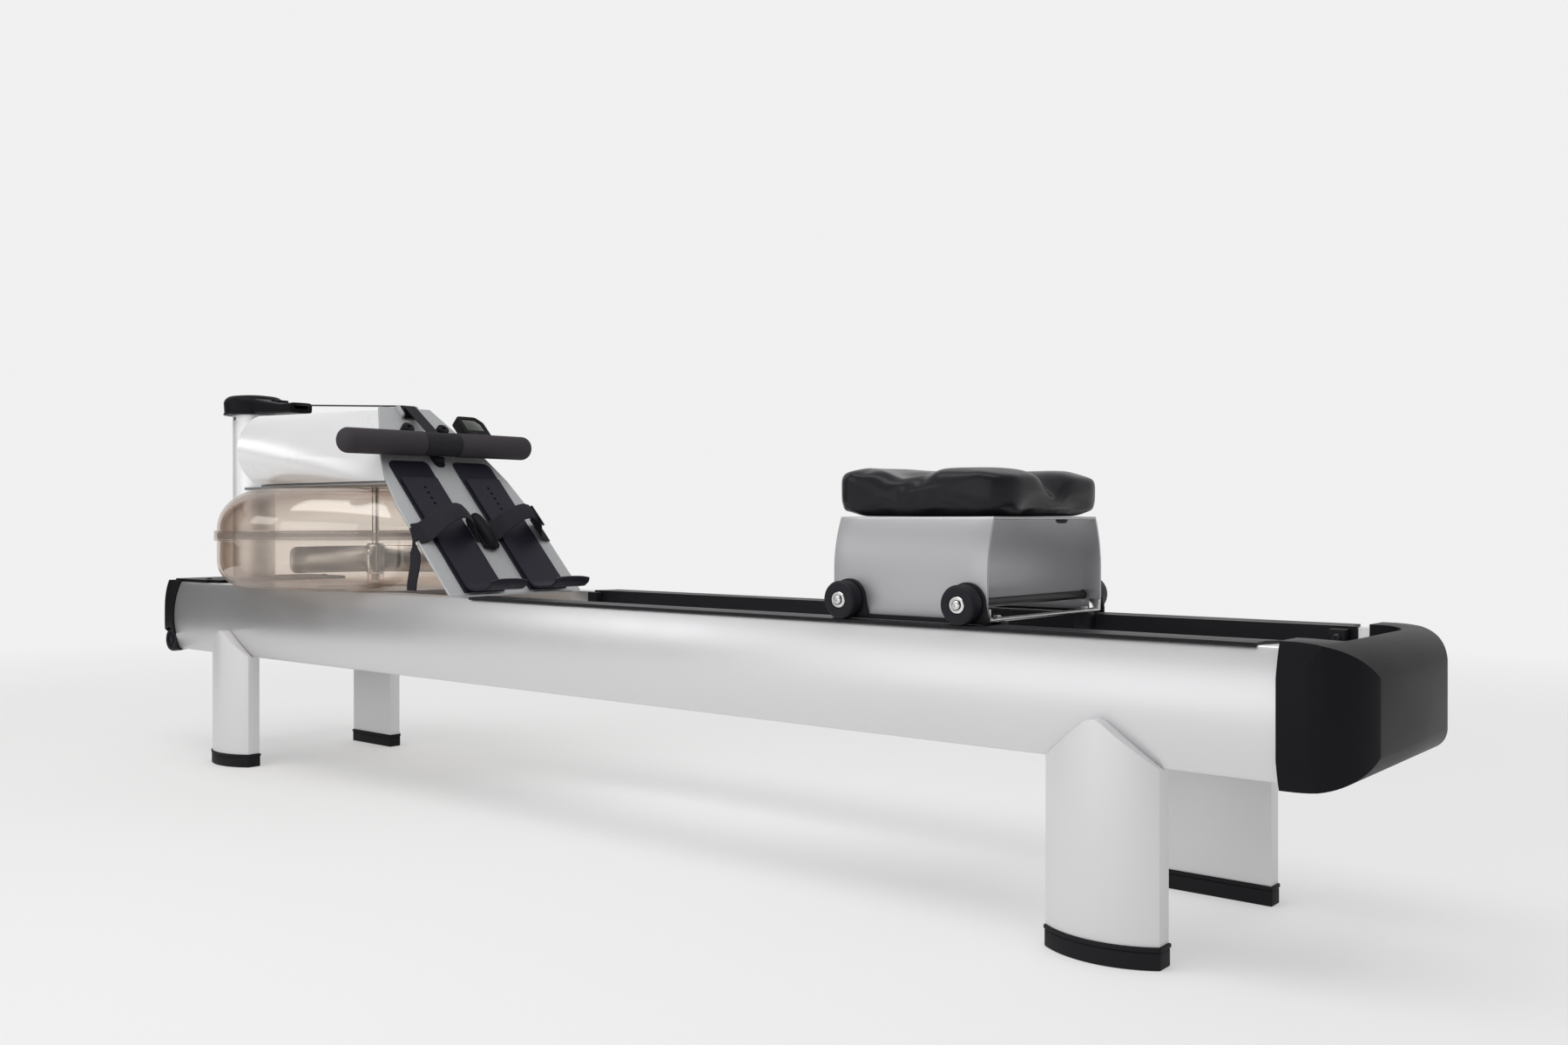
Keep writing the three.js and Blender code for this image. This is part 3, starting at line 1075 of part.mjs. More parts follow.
function seat() {
  const carriage = new THREE.Group();
  carriage.position.x = SEAT_X;
  machine.add(carriage);
  const bow = [[ARCH_HALF_WIDTH, ARCH_BOTTOM], [ARCH_HALF_WIDTH, ARCH_BOTTOM + ARCH_STRAIGHT]];
  const shoulder = [ARCH_HALF_WIDTH - 4, ARCH_TOP - 27.5];
  const curve = arcThrough(bow[1], shoulder, [ARCH_TOP_HALF_WIDTH, ARCH_TOP], 7);
  const outside = [...bow, ...curve, [ARCH_TOP_HALF_WIDTH, ARCH_TOP]];
  const inside = outside.map(([y, z], k) =>
    k === outside.length - 1 ? [y - ARCH_SHEET - 1, z - ARCH_SHEET] : [y - ARCH_SHEET, z],
  ).filter(([, z], k, all) => k === all.length - 1 || z < ARCH_TOP - ARCH_SHEET);
  const flip = (list) => list.map(([y, z]) => [-y, z]).reverse();
  const outerSolid = shapeOf([...outside, ...flip(outside)]);
  const innerDrop = inside.map(([y, z], k) => (k === 0 ? [y, z - 20] : [y, z]));
  const innerSolid = shapeOf([...innerDrop, ...flip(innerDrop)]);
  const wheelX = [-WHEEL_BASE / 2, WHEEL_BASE / 2];
  const wheelZ = trackTop + GAP + WHEEL_R;
  const arch = cut(
    alongX(outerSolid, -ARCH_HALF_LENGTH, ARCH_HALF_LENGTH),
    alongX(innerSolid, -ARCH_HALF_LENGTH - 5, ARCH_HALF_LENGTH + 5),
    ...wheelX.map((x) => rodY(x, wheelZ, AXLE_R + GAP, -BIG, BIG)),
  );
  add("seat_arch", arch, silverPaint, carriage);

  const axleEnd = WHEEL_INNER_Y + WHEEL_WIDTH + 1.5;
  const shoeOuter = trackInnerFace - RUN; // nylon blocks under the tie bars run along the tracks
  ["front", "rear"].forEach((where, k) => {
    add(where + "_axle", rodY(wheelX[k], wheelZ, AXLE_R, -axleEnd, axleEnd), brightSteel, carriage);
    const barX = k === 0 ? -95 : 95;
    const inner = ARCH_HALF_WIDTH - ARCH_SHEET - GAP;
    const low = ARCH_BOTTOM - 1;
    const [barFront, barTail] = [barX - TIE_BAR_WIDTH / 2, barX + TIE_BAR_WIDTH / 2];
    const bar = box(barFront, barTail, -inner, inner, low, low + TIE_BAR_THICK);
    const tab = box(barFront, barTail, inner - TIE_BAR_THICK, inner, low, low + 14);
    const [x0, x1] = [barX - SHOE_BLOCK / 2, barX + SHOE_BLOCK / 2];
    const block = box(x0, x1, shoeOuter - SHOE_WIDTH, shoeOuter, SHOE_LOW_Z, low + 1);
    add(where + "_tie_bar", join(bar, tab, mirrored(tab), block, mirrored(block)), brightSteel, carriage);
  });

  // Guards stand between the wheels and the arch, joined by a low skirt.
  const guardInner = ARCH_HALF_WIDTH + GAP;
  const guardOuter = WHEEL_INNER_Y - 0.6;
  const floor = trackTop + 0.6;
  const guard = (x) => {
    const r = WHEEL_R + 2;
    const top = Array.from({ length: 13 }, (_, k) => {
      const a = (Math.PI * k) / 12;
      return [x + r * Math.cos(a), wheelZ + r * Math.sin(a)];
    });
    const toe = x + r + 3;
    const side = shapeOf([[x - r, floor], [toe, floor], [toe, floor + 7], ...top, [x - r, wheelZ - 2]]);
    return alongY(side, guardInner, guardOuter);
  };
  const skirt = box(wheelX[0], wheelX[1], guardInner, guardInner + 2, floor, floor + 5);
  const holes = wheelX.map((x) => rodY(x, wheelZ, AXLE_R + GAP, guardInner - 5, guardOuter + 5));
  const guards = join(...wheelX.map(guard), skirt);
  addPair("wheel_guard", cut(guards, ...holes), blackPlastic, carriage);

  const y0 = WHEEL_INNER_Y;
  const y1 = WHEEL_INNER_Y + WHEEL_WIDTH;
  const profile = [
    [AXLE_R + RUN, y0],
    [WHEEL_R - 2, y0],
    [WHEEL_R, y0 + 2],
    [WHEEL_R, y1 - 2.5],
    [WHEEL_R - 2.5, y1],
    [WHEEL_BORE, y1],
    [WHEEL_BORE, y1 - 3],
    [AXLE_R + RUN, y1 - 3],
    [AXLE_R + RUN, y0],
  ];
  ["front", "rear"].forEach((where, k) => {
    addPair(where + "_seat_wheel", turnedY(profile, wheelX[k], wheelZ, 22), blackRubber, carriage);
  });

  const x0 = CUSHION_FRONT - SEAT_X + CUSHION_EDGE;
  const x1 = CUSHION_TAIL - SEAT_X - CUSHION_EDGE;
  const w = CUSHION_HALF_WIDTH - CUSHION_EDGE;
  const corner = CUSHION_CORNER - CUSHION_EDGE;
  const plan = shapeOf(rounded([[x0, -w, corner], [x1, -w, corner], [x1, w, corner], [x0, w, corner]], 5));
  const cushion = new THREE.ExtrudeGeometry(plan, {
    depth: CUSHION_THICK - 2 * CUSHION_EDGE,
    bevelThickness: CUSHION_EDGE,
    bevelSize: CUSHION_EDGE,
    bevelSegments: 3,
  }).translate(0, 0, ARCH_TOP + GAP + CUSHION_EDGE);
  add("seat_cushion", cushion, cushionSkin, carriage);
}

rails();
crossMembers();
tracks();
legs();
tailBumper();
frontEndCap();
tank();
driveTrain();
deckPlate();
hood();
column();
footboard();
footRests();
footStraps();
handleRest();
handle();
straps();
monitor();
seat();

export default machine;
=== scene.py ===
"""Builds the looks of a water-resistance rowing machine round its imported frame.

Sizes are in millimetres where a class states them, and each mesh is made in metres, in the frame's own axes:
+X runs to the tail of the rails, +Z is up and the floor is at zero.
"""

from __future__ import annotations

import logging
import math
from collections.abc import Callable, Mapping, Sequence
from dataclasses import dataclass, field
from enum import Enum

import bpy
from mathutils import Matrix, Vector


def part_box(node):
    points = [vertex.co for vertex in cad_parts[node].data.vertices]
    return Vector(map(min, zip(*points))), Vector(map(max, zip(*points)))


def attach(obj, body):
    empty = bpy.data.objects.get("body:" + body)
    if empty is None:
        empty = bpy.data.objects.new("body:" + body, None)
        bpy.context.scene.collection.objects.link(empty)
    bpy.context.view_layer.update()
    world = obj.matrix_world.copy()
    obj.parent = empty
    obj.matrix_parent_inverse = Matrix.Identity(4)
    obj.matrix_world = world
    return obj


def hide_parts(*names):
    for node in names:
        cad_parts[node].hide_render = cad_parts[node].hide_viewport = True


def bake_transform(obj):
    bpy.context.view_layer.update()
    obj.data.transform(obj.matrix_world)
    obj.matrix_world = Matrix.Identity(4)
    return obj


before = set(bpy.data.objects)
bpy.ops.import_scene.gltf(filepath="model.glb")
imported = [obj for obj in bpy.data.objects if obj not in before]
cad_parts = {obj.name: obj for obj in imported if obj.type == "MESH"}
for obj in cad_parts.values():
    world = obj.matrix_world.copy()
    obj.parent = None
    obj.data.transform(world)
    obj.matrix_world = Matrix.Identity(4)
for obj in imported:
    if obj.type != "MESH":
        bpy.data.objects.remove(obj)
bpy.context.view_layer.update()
MM = 0.001
LOG = logging.getLogger("rowing_machine")

Point2 = tuple[float, float]
Point3 = tuple[float, float, float]
Colour = tuple[float, float, float]
Piece = bpy.types.Object


# ---- outlines -------------------------------------------------------------------------------------
def arc_through(a: Point2, b: Point2, c: Point2, steps: int) -> list[Point2]:
    """Points of the arc from a through b to c, both ends included.

    Args:
        a: Where the arc starts.
        b: A point on the arc.
        c: Where the arc ends.
        steps: How many chords the arc has.

    Returns:
        The points in order from a to c.
    """
    d = 2 * (a[0] * (b[1] - c[1]) + b[0] * (c[1] - a[1]) + c[0] * (a[1] - b[1]))
    sa, sb, sc = (p[0] ** 2 + p[1] ** 2 for p in (a, b, c))
    ux = (sa * (b[1] - c[1]) + sb * (c[1] - a[1]) + sc * (a[1] - b[1])) / d
    uy = (sa * (c[0] - b[0]) + sb * (a[0] - c[0]) + sc * (b[0] - a[0])) / d
    radius = math.hypot(a[0] - ux, a[1] - uy)

    def bearing(p: Point2) -> float:
        """The angle of p about the arc's centre."""
        return math.atan2(p[1] - uy, p[0] - ux)

    def wrapped(angle: float) -> float:
        """The angle brought to between minus and plus half a turn."""
        return math.atan2(math.sin(angle), math.cos(angle))

    turn = wrapped(bearing(b) - bearing(a)) + wrapped(bearing(c) - bearing(b))
    start = bearing(a)
    angles = [start + turn * k / steps for k in range(steps + 1)]
    return [(ux + radius * math.cos(t), uy + radius * math.sin(t)) for t in angles]


def rounded(corners: Sequence[tuple[float, ...]], steps: int = 6) -> list[Point2]:
    """The outline through corners, each one (x, y) or (x, y, radius).

    Args:
        corners: The outline's corners in order; a radius rounds its corner.
        steps: How many chords each rounded corner has.

    Returns:
        The outline's points in order.
    """
    points: list[Point2] = []
    count = len(corners)
    for i, corner in enumerate(corners):
        here = Vector(corner[:2])
        if len(corner) < 3:
            points.append((here.x, here.y))
            continue
        radius = corner[2]
        back = (Vector(corners[i - 1][:2]) - here).normalized()
        ahead = (Vector(corners[(i + 1) % count][:2]) - here).normalized()
        half = back.angle(ahead) / 2
        centre = here + (back + ahead).normalized() * (radius / math.sin(half))
        reach = radius / math.tan(half)
        first = here + back * reach - centre
        last = here + ahead * reach - centre
        turn = math.atan2(first.x * last.y - first.y * last.x, first.dot(last))
        start = math.atan2(first.y, first.x)
        for k in range(steps + 1):
            angle = start + turn * k / steps
            points.append((centre.x + radius * math.cos(angle), centre.y + radius * math.sin(angle)))
    return points


def circle(x: float, y: float, radius: float, sides: int = 32) -> list[Point2]:
    """The outline of a round disc.

    Args:
        x: The centre's first coordinate.
        y: The centre's second coordinate.
        radius: The disc's radius.
        sides: How many sides stand for the circle.

    Returns:
        The outline's points in order.
    """
    turns = [2 * math.pi * k / sides for k in range(sides)]
    return [(x + radius * math.cos(t), y + radius * math.sin(t)) for t in turns]


def mirrored_outline(points: Sequence[Point2], axis: int = 0) -> list[Point2]:
    """The points with one coordinate negated, in reverse order.

    Args:
        points: The points of one half of an outline.
        axis: 0 negates the first coordinate, 1 the second.

    Returns:
        The other half, ready to follow the first.
    """
    return [(-p[0], p[1]) if axis == 0 else (p[0], -p[1]) for p in reversed(points)]


def rounded_box(low: Point2, high: Point2, radius: float, steps: int) -> list[Point2]:
    """A rectangle between two corners, with its own corners rounded."""
    (x0, y0), (x1, y1) = low, high
    return rounded([(x0, y0, radius), (x1, y0, radius), (x1, y1, radius), (x0, y1, radius)], steps)


def along_line(points: Sequence[Point2], place: float, ease: float = 0.0) -> float:
    """The height at a place on a line through (place, height) points.

    Args:
        points: The line's points, in order of place.
        place: Where the height is wanted.
        ease: How far each stretch levels off at its ends, from 0, straight, to 1.

    Returns:
        The height, which past the last point stays that point's.
    """
    for (p0, h0), (p1, h1) in zip(points, points[1:]):
        if place <= p1:
            t = (place - p0) / (p1 - p0)
            return h0 + (h1 - h0) * (t * t * (3 - 2 * t) * ease + t * (1 - ease))
    return points[-1][1]


def quarter(steps: int) -> list[float]:
    """The angles of a quarter turn, both ends included."""
    return [math.pi / 2 * k / steps for k in range(steps + 1)]


# ---- the inclined footboard's own frame ------------------------------------------------------------
@dataclass(frozen=True)
class Incline:
    """The plane of the footboard: s runs up its face and n stands out of it, in millimetres."""

    x: float = -235.5
    z: float = 311.0
    angle: float = math.radians(45.33)
    thick: float = 4.0

    def point(self, s: float, n: float) -> Point2:
        """The (x, z) of a place on the board."""
        sin, cos = math.sin(self.angle), math.cos(self.angle)
        return (self.x - s * cos + n * sin, self.z + s * sin + n * cos)

    def back_x(self, z: float) -> float:
        """The x of the board's back face at a height."""
        sin, cos = math.sin(self.angle), math.cos(self.angle)
        return self.x - ((z - self.z) * cos + self.thick) / sin

    def height_at(self, z: float) -> float:
        """How far up the board a height is."""
        return (z - self.z) / math.sin(self.angle)

    def half_width(self, s: float) -> float:
        """Half the board's width at s: straight, then narrowing to the top."""
        taper = ((190.0, 126.5), (247.0, 119.0), (301.0, 103.0), (363.0, 75.0), (420.0, 50.0))
        return along_line(taper, max(s, taper[0][0]))


BOARD = Incline()


class Plane(Enum):
    """Which way an outline is extruded, and so which axes its two coordinates follow."""

    ALONG_X = "x"
    ALONG_Y = "y"
    ALONG_Z = "z"
    ALONG_N = "n"

    def point(self, a: float, b: float, c: float) -> Vector:
        """The place, in metres, of (a, b) on the outline and c along its normal, in millimetres."""
        if self is Plane.ALONG_X:
            return Vector((c, a, b)) * MM
        if self is Plane.ALONG_Y:
            return Vector((a, c, b)) * MM
        if self is Plane.ALONG_Z:
            return Vector((a, b, c)) * MM
        x, z = BOARD.point(b, c)
        return Vector((x, a, z)) * MM


class Side(Enum):
    """The machine's two sides."""

    LEFT = -1
    RIGHT = 1

    @property
    def word(self) -> str:
        """The side's name as it starts a node's name."""
        return self.name.lower()


# ---- modelling by Blender's operators --------------------------------------------------------------
class Bench:
    """Blender's modelling operators, driven as by hand."""

    @staticmethod
    def clear() -> None:
        """Leaves edit mode and deselects everything."""
        if bpy.context.object is not None and bpy.context.object.mode != "OBJECT":
            bpy.ops.object.mode_set(mode="OBJECT")
        bpy.ops.object.select_all(action="DESELECT")

    @staticmethod
    def only(piece: Piece) -> None:
        """Makes piece the one selected and active object."""
        Bench.clear()
        piece.select_set(True)
        bpy.context.view_layer.objects.active = piece

    @staticmethod
    def edit(piece: Piece, select: bool = True) -> None:
        """Enters edit mode on piece, with all of it selected or nothing."""
        Bench.only(piece)
        bpy.ops.object.mode_set(mode="EDIT")
        bpy.ops.mesh.select_mode(type="VERT")
        bpy.ops.mesh.select_all(action="SELECT" if select else "DESELECT")

    @staticmethod
    def done() -> None:
        """Goes back to object mode."""
        bpy.ops.object.mode_set(mode="OBJECT")

    @staticmethod
    def tidy(piece: Piece, distance: float = 1e-5) -> Piece:
        """Merges doubled points, drops loose ones and turns every face outwards."""
        Bench.edit(piece)
        bpy.ops.mesh.remove_doubles(threshold=distance)
        bpy.ops.mesh.delete_loose()
        bpy.ops.mesh.select_all(action="SELECT")
        bpy.ops.mesh.normals_make_consistent(inside=False)
        Bench.done()
        return piece

    @staticmethod
    def face(name: str, corners: Sequence[Vector], filled: bool = True) -> Piece:
        """A flat face, or a closed wire, through the corners.

        Args:
            name: The new piece's name.
            corners: Its corners in order, in metres.
            filled: False leaves only the edges.

        Returns:
            The new piece.
        """
        Bench.clear()
        fill = "NGON" if filled else "NOTHING"
        bpy.ops.mesh.primitive_circle_add(vertices=len(corners), radius=1.0, fill_type=fill)
        piece = bpy.context.object
        piece.name = name
        for vertex, corner in zip(piece.data.vertices, corners):
            vertex.co = corner
        return piece

    @staticmethod
    def prism(name: str, outline: Sequence[Point2], plane: Plane, low: float, high: float) -> Piece:
        """An outline extruded from low to high along its plane's normal.

        Args:
            name: The new piece's name.
            outline: The outline's points, in millimetres.
            plane: Which way the outline is extruded.
            low: Where the extrusion starts.
            high: Where it ends.

        Returns:
            The closed piece.
        """
        piece = Bench.face(name, [plane.point(a, b, low) for a, b in outline])
        Bench.edit(piece)
        travel = plane.point(0, 0, high) - plane.point(0, 0, low)
        bpy.ops.mesh.extrude_region_move(TRANSFORM_OT_translate={"value": travel})
        Bench.done()
        return Bench.tidy(piece)

    @staticmethod
    def block(name: str, low: Point3, high: Point3) -> Piece:
        """A cube primitive at its size and place, given by two corners in millimetres."""
        Bench.clear()
        centre = [(a + b) / 2 * MM for a, b in zip(low, high)]
        bpy.ops.mesh.primitive_cube_add(size=1.0, location=centre)
        piece = bpy.context.object
        piece.name = name
        piece.scale = [(b - a) * MM for a, b in zip(low, high)]
        bpy.ops.object.transform_apply(location=True, rotation=True, scale=True)
        return piece

    @staticmethod
    def turned(name: str, profile: Sequence[Point2], centre: Point3, axis: str, sides: int) -> Piece:
        """A profile spun about an axis.

        Args:
            name: The new piece's name.
            profile: (radius, height along the axis), closed on itself or ending on the axis, in millimetres.
            centre: A point on the axis, where the height is zero, in millimetres.
            axis: "Y" or "Z", the way the heights rise.
            sides: How many steps the spin has.

        Returns:
            The closed piece.
        """
        middle = Vector(centre) * MM
        rise = Vector((0, 1, 0)) if axis == "Y" else Vector((0, 0, 1))
        ring = [middle + Vector((r * MM, 0, 0)) + rise * (h * MM) for r, h in profile]
        piece = Bench.face(name, ring, filled=False)
        Bench.edit(piece)
        bpy.ops.mesh.spin(steps=sides, angle=2 * math.pi, center=middle, axis=rise)
        Bench.done()
        return Bench.tidy(piece)

    @staticmethod
    def sheet(
        name: str,
        size: tuple[int, int],
        place: Callable[[float, float], Vector],
        cloth: Point2 | None = None,
    ) -> Piece:
        """A grid whose points are put in place one by one.

        Args:
            name: The new piece's name.
            size: How many cells it has along u and along v.
            place: Gives the point, in metres, at u and v from 0 to 1.
            cloth: The sheet's length and width in metres, for a UV map that the weave follows.

        Returns:
            The open sheet.
        """
        Bench.clear()
        bpy.ops.mesh.primitive_grid_add(x_subdivisions=size[0], y_subdivisions=size[1], size=2.0)
        piece = bpy.context.object
        piece.name = name
        spots = [((v.co.x + 1) / 2, (v.co.y + 1) / 2) for v in piece.data.vertices]
        for vertex, (u, v) in zip(piece.data.vertices, spots):
            vertex.co = place(u, v)
        if cloth is not None:
            layer = piece.data.uv_layers.active or piece.data.uv_layers.new(name="cloth")
            for loop in piece.data.loops:
                u, v = spots[loop.vertex_index]
                layer.data[loop.index].uv = (u * cloth[0], v * cloth[1])
        return piece

    @staticmethod
    def modify(piece: Piece, kind: str, **settings: object) -> Piece:
        """Adds a modifier with its settings and applies it."""
        Bench.only(piece)
        modifier = piece.modifiers.new(kind.lower(), kind)
        for key, value in settings.items():
            setattr(modifier, key, value)
        bpy.ops.object.modifier_apply(modifier=modifier.name)
        return piece

    @staticmethod
    def soften(piece: Piece, width: float, segments: int = 2, angle: float = 40.0) -> Piece:
        """Bevels every edge sharper than an angle in degrees, by a width in millimetres."""
        return Bench.modify(
            piece,
            "BEVEL",
            width=width * MM,
            segments=segments,
            limit_method="ANGLE",
            angle_limit=math.radians(angle),
            harden_normals=False,
        )

    @staticmethod
    def thicken(piece: Piece, thick: float, offset: float = -1.0) -> Piece:
        """Gives a sheet a wall, in millimetres."""
        return Bench.modify(piece, "SOLIDIFY", thickness=thick * MM, offset=offset, use_even_offset=True)

    @staticmethod
    def combine(piece: Piece, tool: Piece, operation: str = "DIFFERENCE") -> Piece:
        """Cuts piece by tool, or joins or crosses them, and uses the tool up."""
        Bench.modify(piece, "BOOLEAN", object=tool, operation=operation, solver="EXACT")
        bpy.data.objects.remove(tool, do_unlink=True)
        return piece

    @staticmethod
    def join(pieces: Sequence[Piece], name: str) -> Piece:
        """Joins pieces into one object, each shell as it is."""
        Bench.clear()
        for piece in pieces:
            piece.select_set(True)
        bpy.context.view_layer.objects.active = pieces[0]
        bpy.ops.object.join()
        pieces[0].name = name
        return pieces[0]

    @staticmethod
    def twin(piece: Piece, name: str, matrix: Matrix) -> Piece:
        """A copy with its own mesh, moved or mirrored by a matrix.

        Args:
            piece: The piece to copy.
            name: The copy's name.
            matrix: Where the copy goes; a mirroring one turns its faces out again.

        Returns:
            The copy.
        """
        copy = piece.copy()
        copy.data = piece.data.copy()
        copy.name = name
        bpy.context.collection.objects.link(copy)
        copy.data.transform(matrix)
        if matrix.determinant() < 0:
            copy.data.flip_normals()
        return copy

    @staticmethod
    def across(piece: Piece, name: str) -> Piece:
        """The mirror copy on the machine's other side."""
        return Bench.twin(piece, name, Matrix.Scale(-1, 4, (0, 1, 0)))


# ---- shaders ---------------------------------------------------------------------------------------
class Wire:
    """A node's output, on which Python's operators do arithmetic."""

    def __init__(self, tree: "Shader", socket: bpy.types.NodeSocket) -> None:
        """Wraps one output socket of a shader's tree."""
        self.tree = tree
        self.socket = socket

    def _with(self, operation: str, *values: "Wire | float") -> "Wire":
        """A Math node on the values."""
        return self.tree.node("ShaderNodeMath", {"operation": operation}, dict(enumerate(values)))

    def __add__(self, other: "Wire | float") -> "Wire":
        """The sum."""
        return self._with("ADD", self, other)

    __radd__ = __add__

    def __sub__(self, other: "Wire | float") -> "Wire":
        """The difference."""
        return self._with("SUBTRACT", self, other)

    def __rsub__(self, other: float) -> "Wire":
        """A number less this value."""
        return self._with("SUBTRACT", other, self)

    def __mul__(self, other: "Wire | float") -> "Wire":
        """The product."""
        return self._with("MULTIPLY", self, other)

    __rmul__ = __mul__

    def __pow__(self, other: float) -> "Wire":
        """The power."""
        return self._with("POWER", self, other)

    def above(self, level: float) -> "Wire":
        """1 where the value is over a level, else 0."""
        return self._with("GREATER_THAN", self, level)


class Shader:
    """The node tree of one material."""

    def __init__(self, name: str) -> None:
        """Starts an empty material."""
        self.material = bpy.data.materials.new(name)
        self.material.use_nodes = True
        self.tree = self.material.node_tree
        self.tree.nodes.clear()

    def node(
        self,
        kind: str,
        settings: Mapping[str, object] | None = None,
        inputs: Mapping[int | str, object] | None = None,
        output: int | str = 0,
    ) -> Wire:
        """Adds a node.

        Args:
            kind: The node's type.
            settings: Its settings, set first; "stops" are a ramp's (position, colour) pairs.
            inputs: Values or links of its sockets.
            output: Which output is returned.

        Returns:
            The wire from that output.
        """
        made = self.tree.nodes.new(kind)
        for key, value in (settings or {}).items():
            if key == "stops":
                for element, (position, colour) in zip(made.color_ramp.elements, value):
                    element.position, element.color = position, colour
            else:
                setattr(made, key, value)
        for key, value in (inputs or {}).items():
            if isinstance(value, Wire):
                self.tree.links.new(value.socket, made.inputs[key])
            else:
                made.inputs[key].default_value = value
        return Wire(self, made.outputs[output])

    def place(self, stretch: Point3 = (1.0, 1.0, 1.0)) -> Wire:
        """Object coordinates, stretched."""
        spot = self.node("ShaderNodeTexCoord", output="Object")
        return self.node("ShaderNodeMapping", inputs={"Vector": spot, "Scale": stretch})

    def noise(self, scale: float, detail: float = 2.0, stretch: Point3 = (1.0, 1.0, 1.0)) -> Wire:
        """A cloudy pattern from 0 to 1, with cells about 1/scale metres wide."""
        values = {"Vector": self.place(stretch), "Scale": scale, "Detail": detail}
        return self.node("ShaderNodeTexNoise", inputs=values, output="Fac")

    def tint(self, share: Wire, low: Colour, high: Colour) -> Wire:
        """The colour between two, by a share from 0 to 1."""
        stops = ((0.0, (*low, 1.0)), (1.0, (*high, 1.0)))
        return self.node("ShaderNodeValToRGB", {"stops": stops}, {"Fac": share}, "Color")

    def bump(self, height: Wire, depth: float, strength: float = 1.0) -> Wire:
        """A Bump node whose full height is a depth in metres."""
        values = {"Height": height, "Distance": depth, "Strength": strength}
        return self.node("ShaderNodeBump", inputs=values, output="Normal")

    def output(self, surface: Wire) -> bpy.types.Material:
        """Ends the material with a surface."""
        end = self.tree.nodes.new("ShaderNodeOutputMaterial")
        self.tree.links.new(surface.socket, end.inputs["Surface"])
        return self.material


def shade(colour: Colour, share: float) -> Colour:
    """A colour made lighter or darker by a share."""
    return tuple(min(1.0, c * share) for c in colour)


@dataclass(frozen=True)
class Finish:
    """A solid surface: a base colour with a cloudy variation, a grain in the bump and a worn sheen.

    Attributes:
        name: The material's name.
        slot: The name of a material slot; not used.
        colour: The mean colour.
        roughness: The mean roughness.
        metallic: How metallic it is.
        coat: The clear coat's weight.
        variation: How far the colour strays either way, as a share.
        grain: Cells of the grain in one metre.
        depth: The grain's depth in millimetres.
        stretch: How the grain is drawn out along X, Y and Z.
        specks: Share of the grain's lightest cells that catch the light, for a metallic paint.
        specular: How strongly a non-metal mirrors.
    """

    name: str
    slot: str
    colour: Colour
    roughness: float
    metallic: float = 0.0
    coat: float = 0.0
    variation: float = 0.06
    grain: float = 900.0
    depth: float = 0.05
    stretch: Point3 = (1.0, 1.0, 1.0)
    specks: float = 0.0
    specular: float = 0.5

    def height(self, shader: Shader) -> Wire:
        """The grain's height, from 0 to 1."""
        return shader.noise(self.grain, 3.0, self.stretch)

    def material(self) -> bpy.types.Material:
        """The finish as a node material."""
        shader = Shader(self.name)
        cloud = shader.noise(9.0, 4.0)
        grain = self.height(shader)
        low, high = shade(self.colour, 1 - self.variation), shade(self.colour, 1 + self.variation)
        share = cloud * 0.6 + grain * 0.4
        if self.specks:
            share = share + shader.noise(self.grain * 1.7, 1.0).above(1 - self.specks) * 0.5
        values = {
            "Base Color": shader.tint(share, low, high),
            "Roughness": self.roughness + (cloud - 0.5) * 0.12 + (grain - 0.5) * 0.1,
            "Metallic": self.metallic,
            "Coat Weight": self.coat,
            "Coat Roughness": 0.12,
            "Specular IOR Level": self.specular,
            "Normal": shader.bump(grain, self.depth * MM),
        }
        return shader.output(shader.node("ShaderNodeBsdfPrincipled", inputs=values))


@dataclass(frozen=True)
class FoamFinish(Finish):
    """Closed-cell foam: round cells with a fine skin."""

    def height(self, shader: Shader) -> Wire:
        """The cells' height, from 0 to 1."""
        values = {"Vector": shader.place(), "Scale": self.grain}
        cells = shader.node("ShaderNodeTexVoronoi", inputs=values, output="Distance")
        return cells * 0.8 + shader.noise(self.grain * 2.0) * 0.4


@dataclass(frozen=True)
class WebbingFinish(Finish):
    """Woven webbing, whose rows and ribs follow the piece's UV map."""

    pitch: float = 1.6

    def height(self, shader: Shader) -> Wire:
        """The weave's height, from 0 to 1."""
        spot = shader.node("ShaderNodeUVMap", output="UV")
        parts = shader.node("ShaderNodeSeparateXYZ", inputs={"Vector": spot})
        across = Wire(shader, parts.socket.node.outputs["Y"])
        turn = 2 * math.pi / (self.pitch * MM)
        warp = (parts * turn)._with("SINE", parts * turn)
        weft = across._with("SINE", across * turn)
        return (warp * weft) * 0.5 + 0.5


@dataclass(frozen=True)
class ClearFinish:
    """A tinted clear wall: what is behind shows through, and the edges mirror more."""

    name: str
    slot: str
    tint: Colour
    edge: Colour
    mirror: float = 0.07

    def material(self) -> bpy.types.Material:
        """The clear wall as a node material."""
        shader = Shader(self.name)
        facing = shader.node("ShaderNodeLayerWeight", inputs={"Blend": 0.35}, output="Facing")
        through = shader.tint(facing**1.6, self.tint, self.edge)
        clear = shader.node("ShaderNodeBsdfTransparent", inputs={"Color": through})
        values = {
            "Base Color": (*self.tint, 1.0),
            "Metallic": 1.0,
            "Roughness": shader.noise(30.0) * 0.06 + 0.04,
            "Normal": shader.bump(shader.noise(14.0), 0.4 * MM, 0.5),
        }
        wall = shader.node("ShaderNodeBsdfPrincipled", inputs=values)
        share = (facing**2.4) * 0.55 + self.mirror
        return shader.output(shader.node("ShaderNodeMixShader", inputs={0: share, 1: clear, 2: wall}))


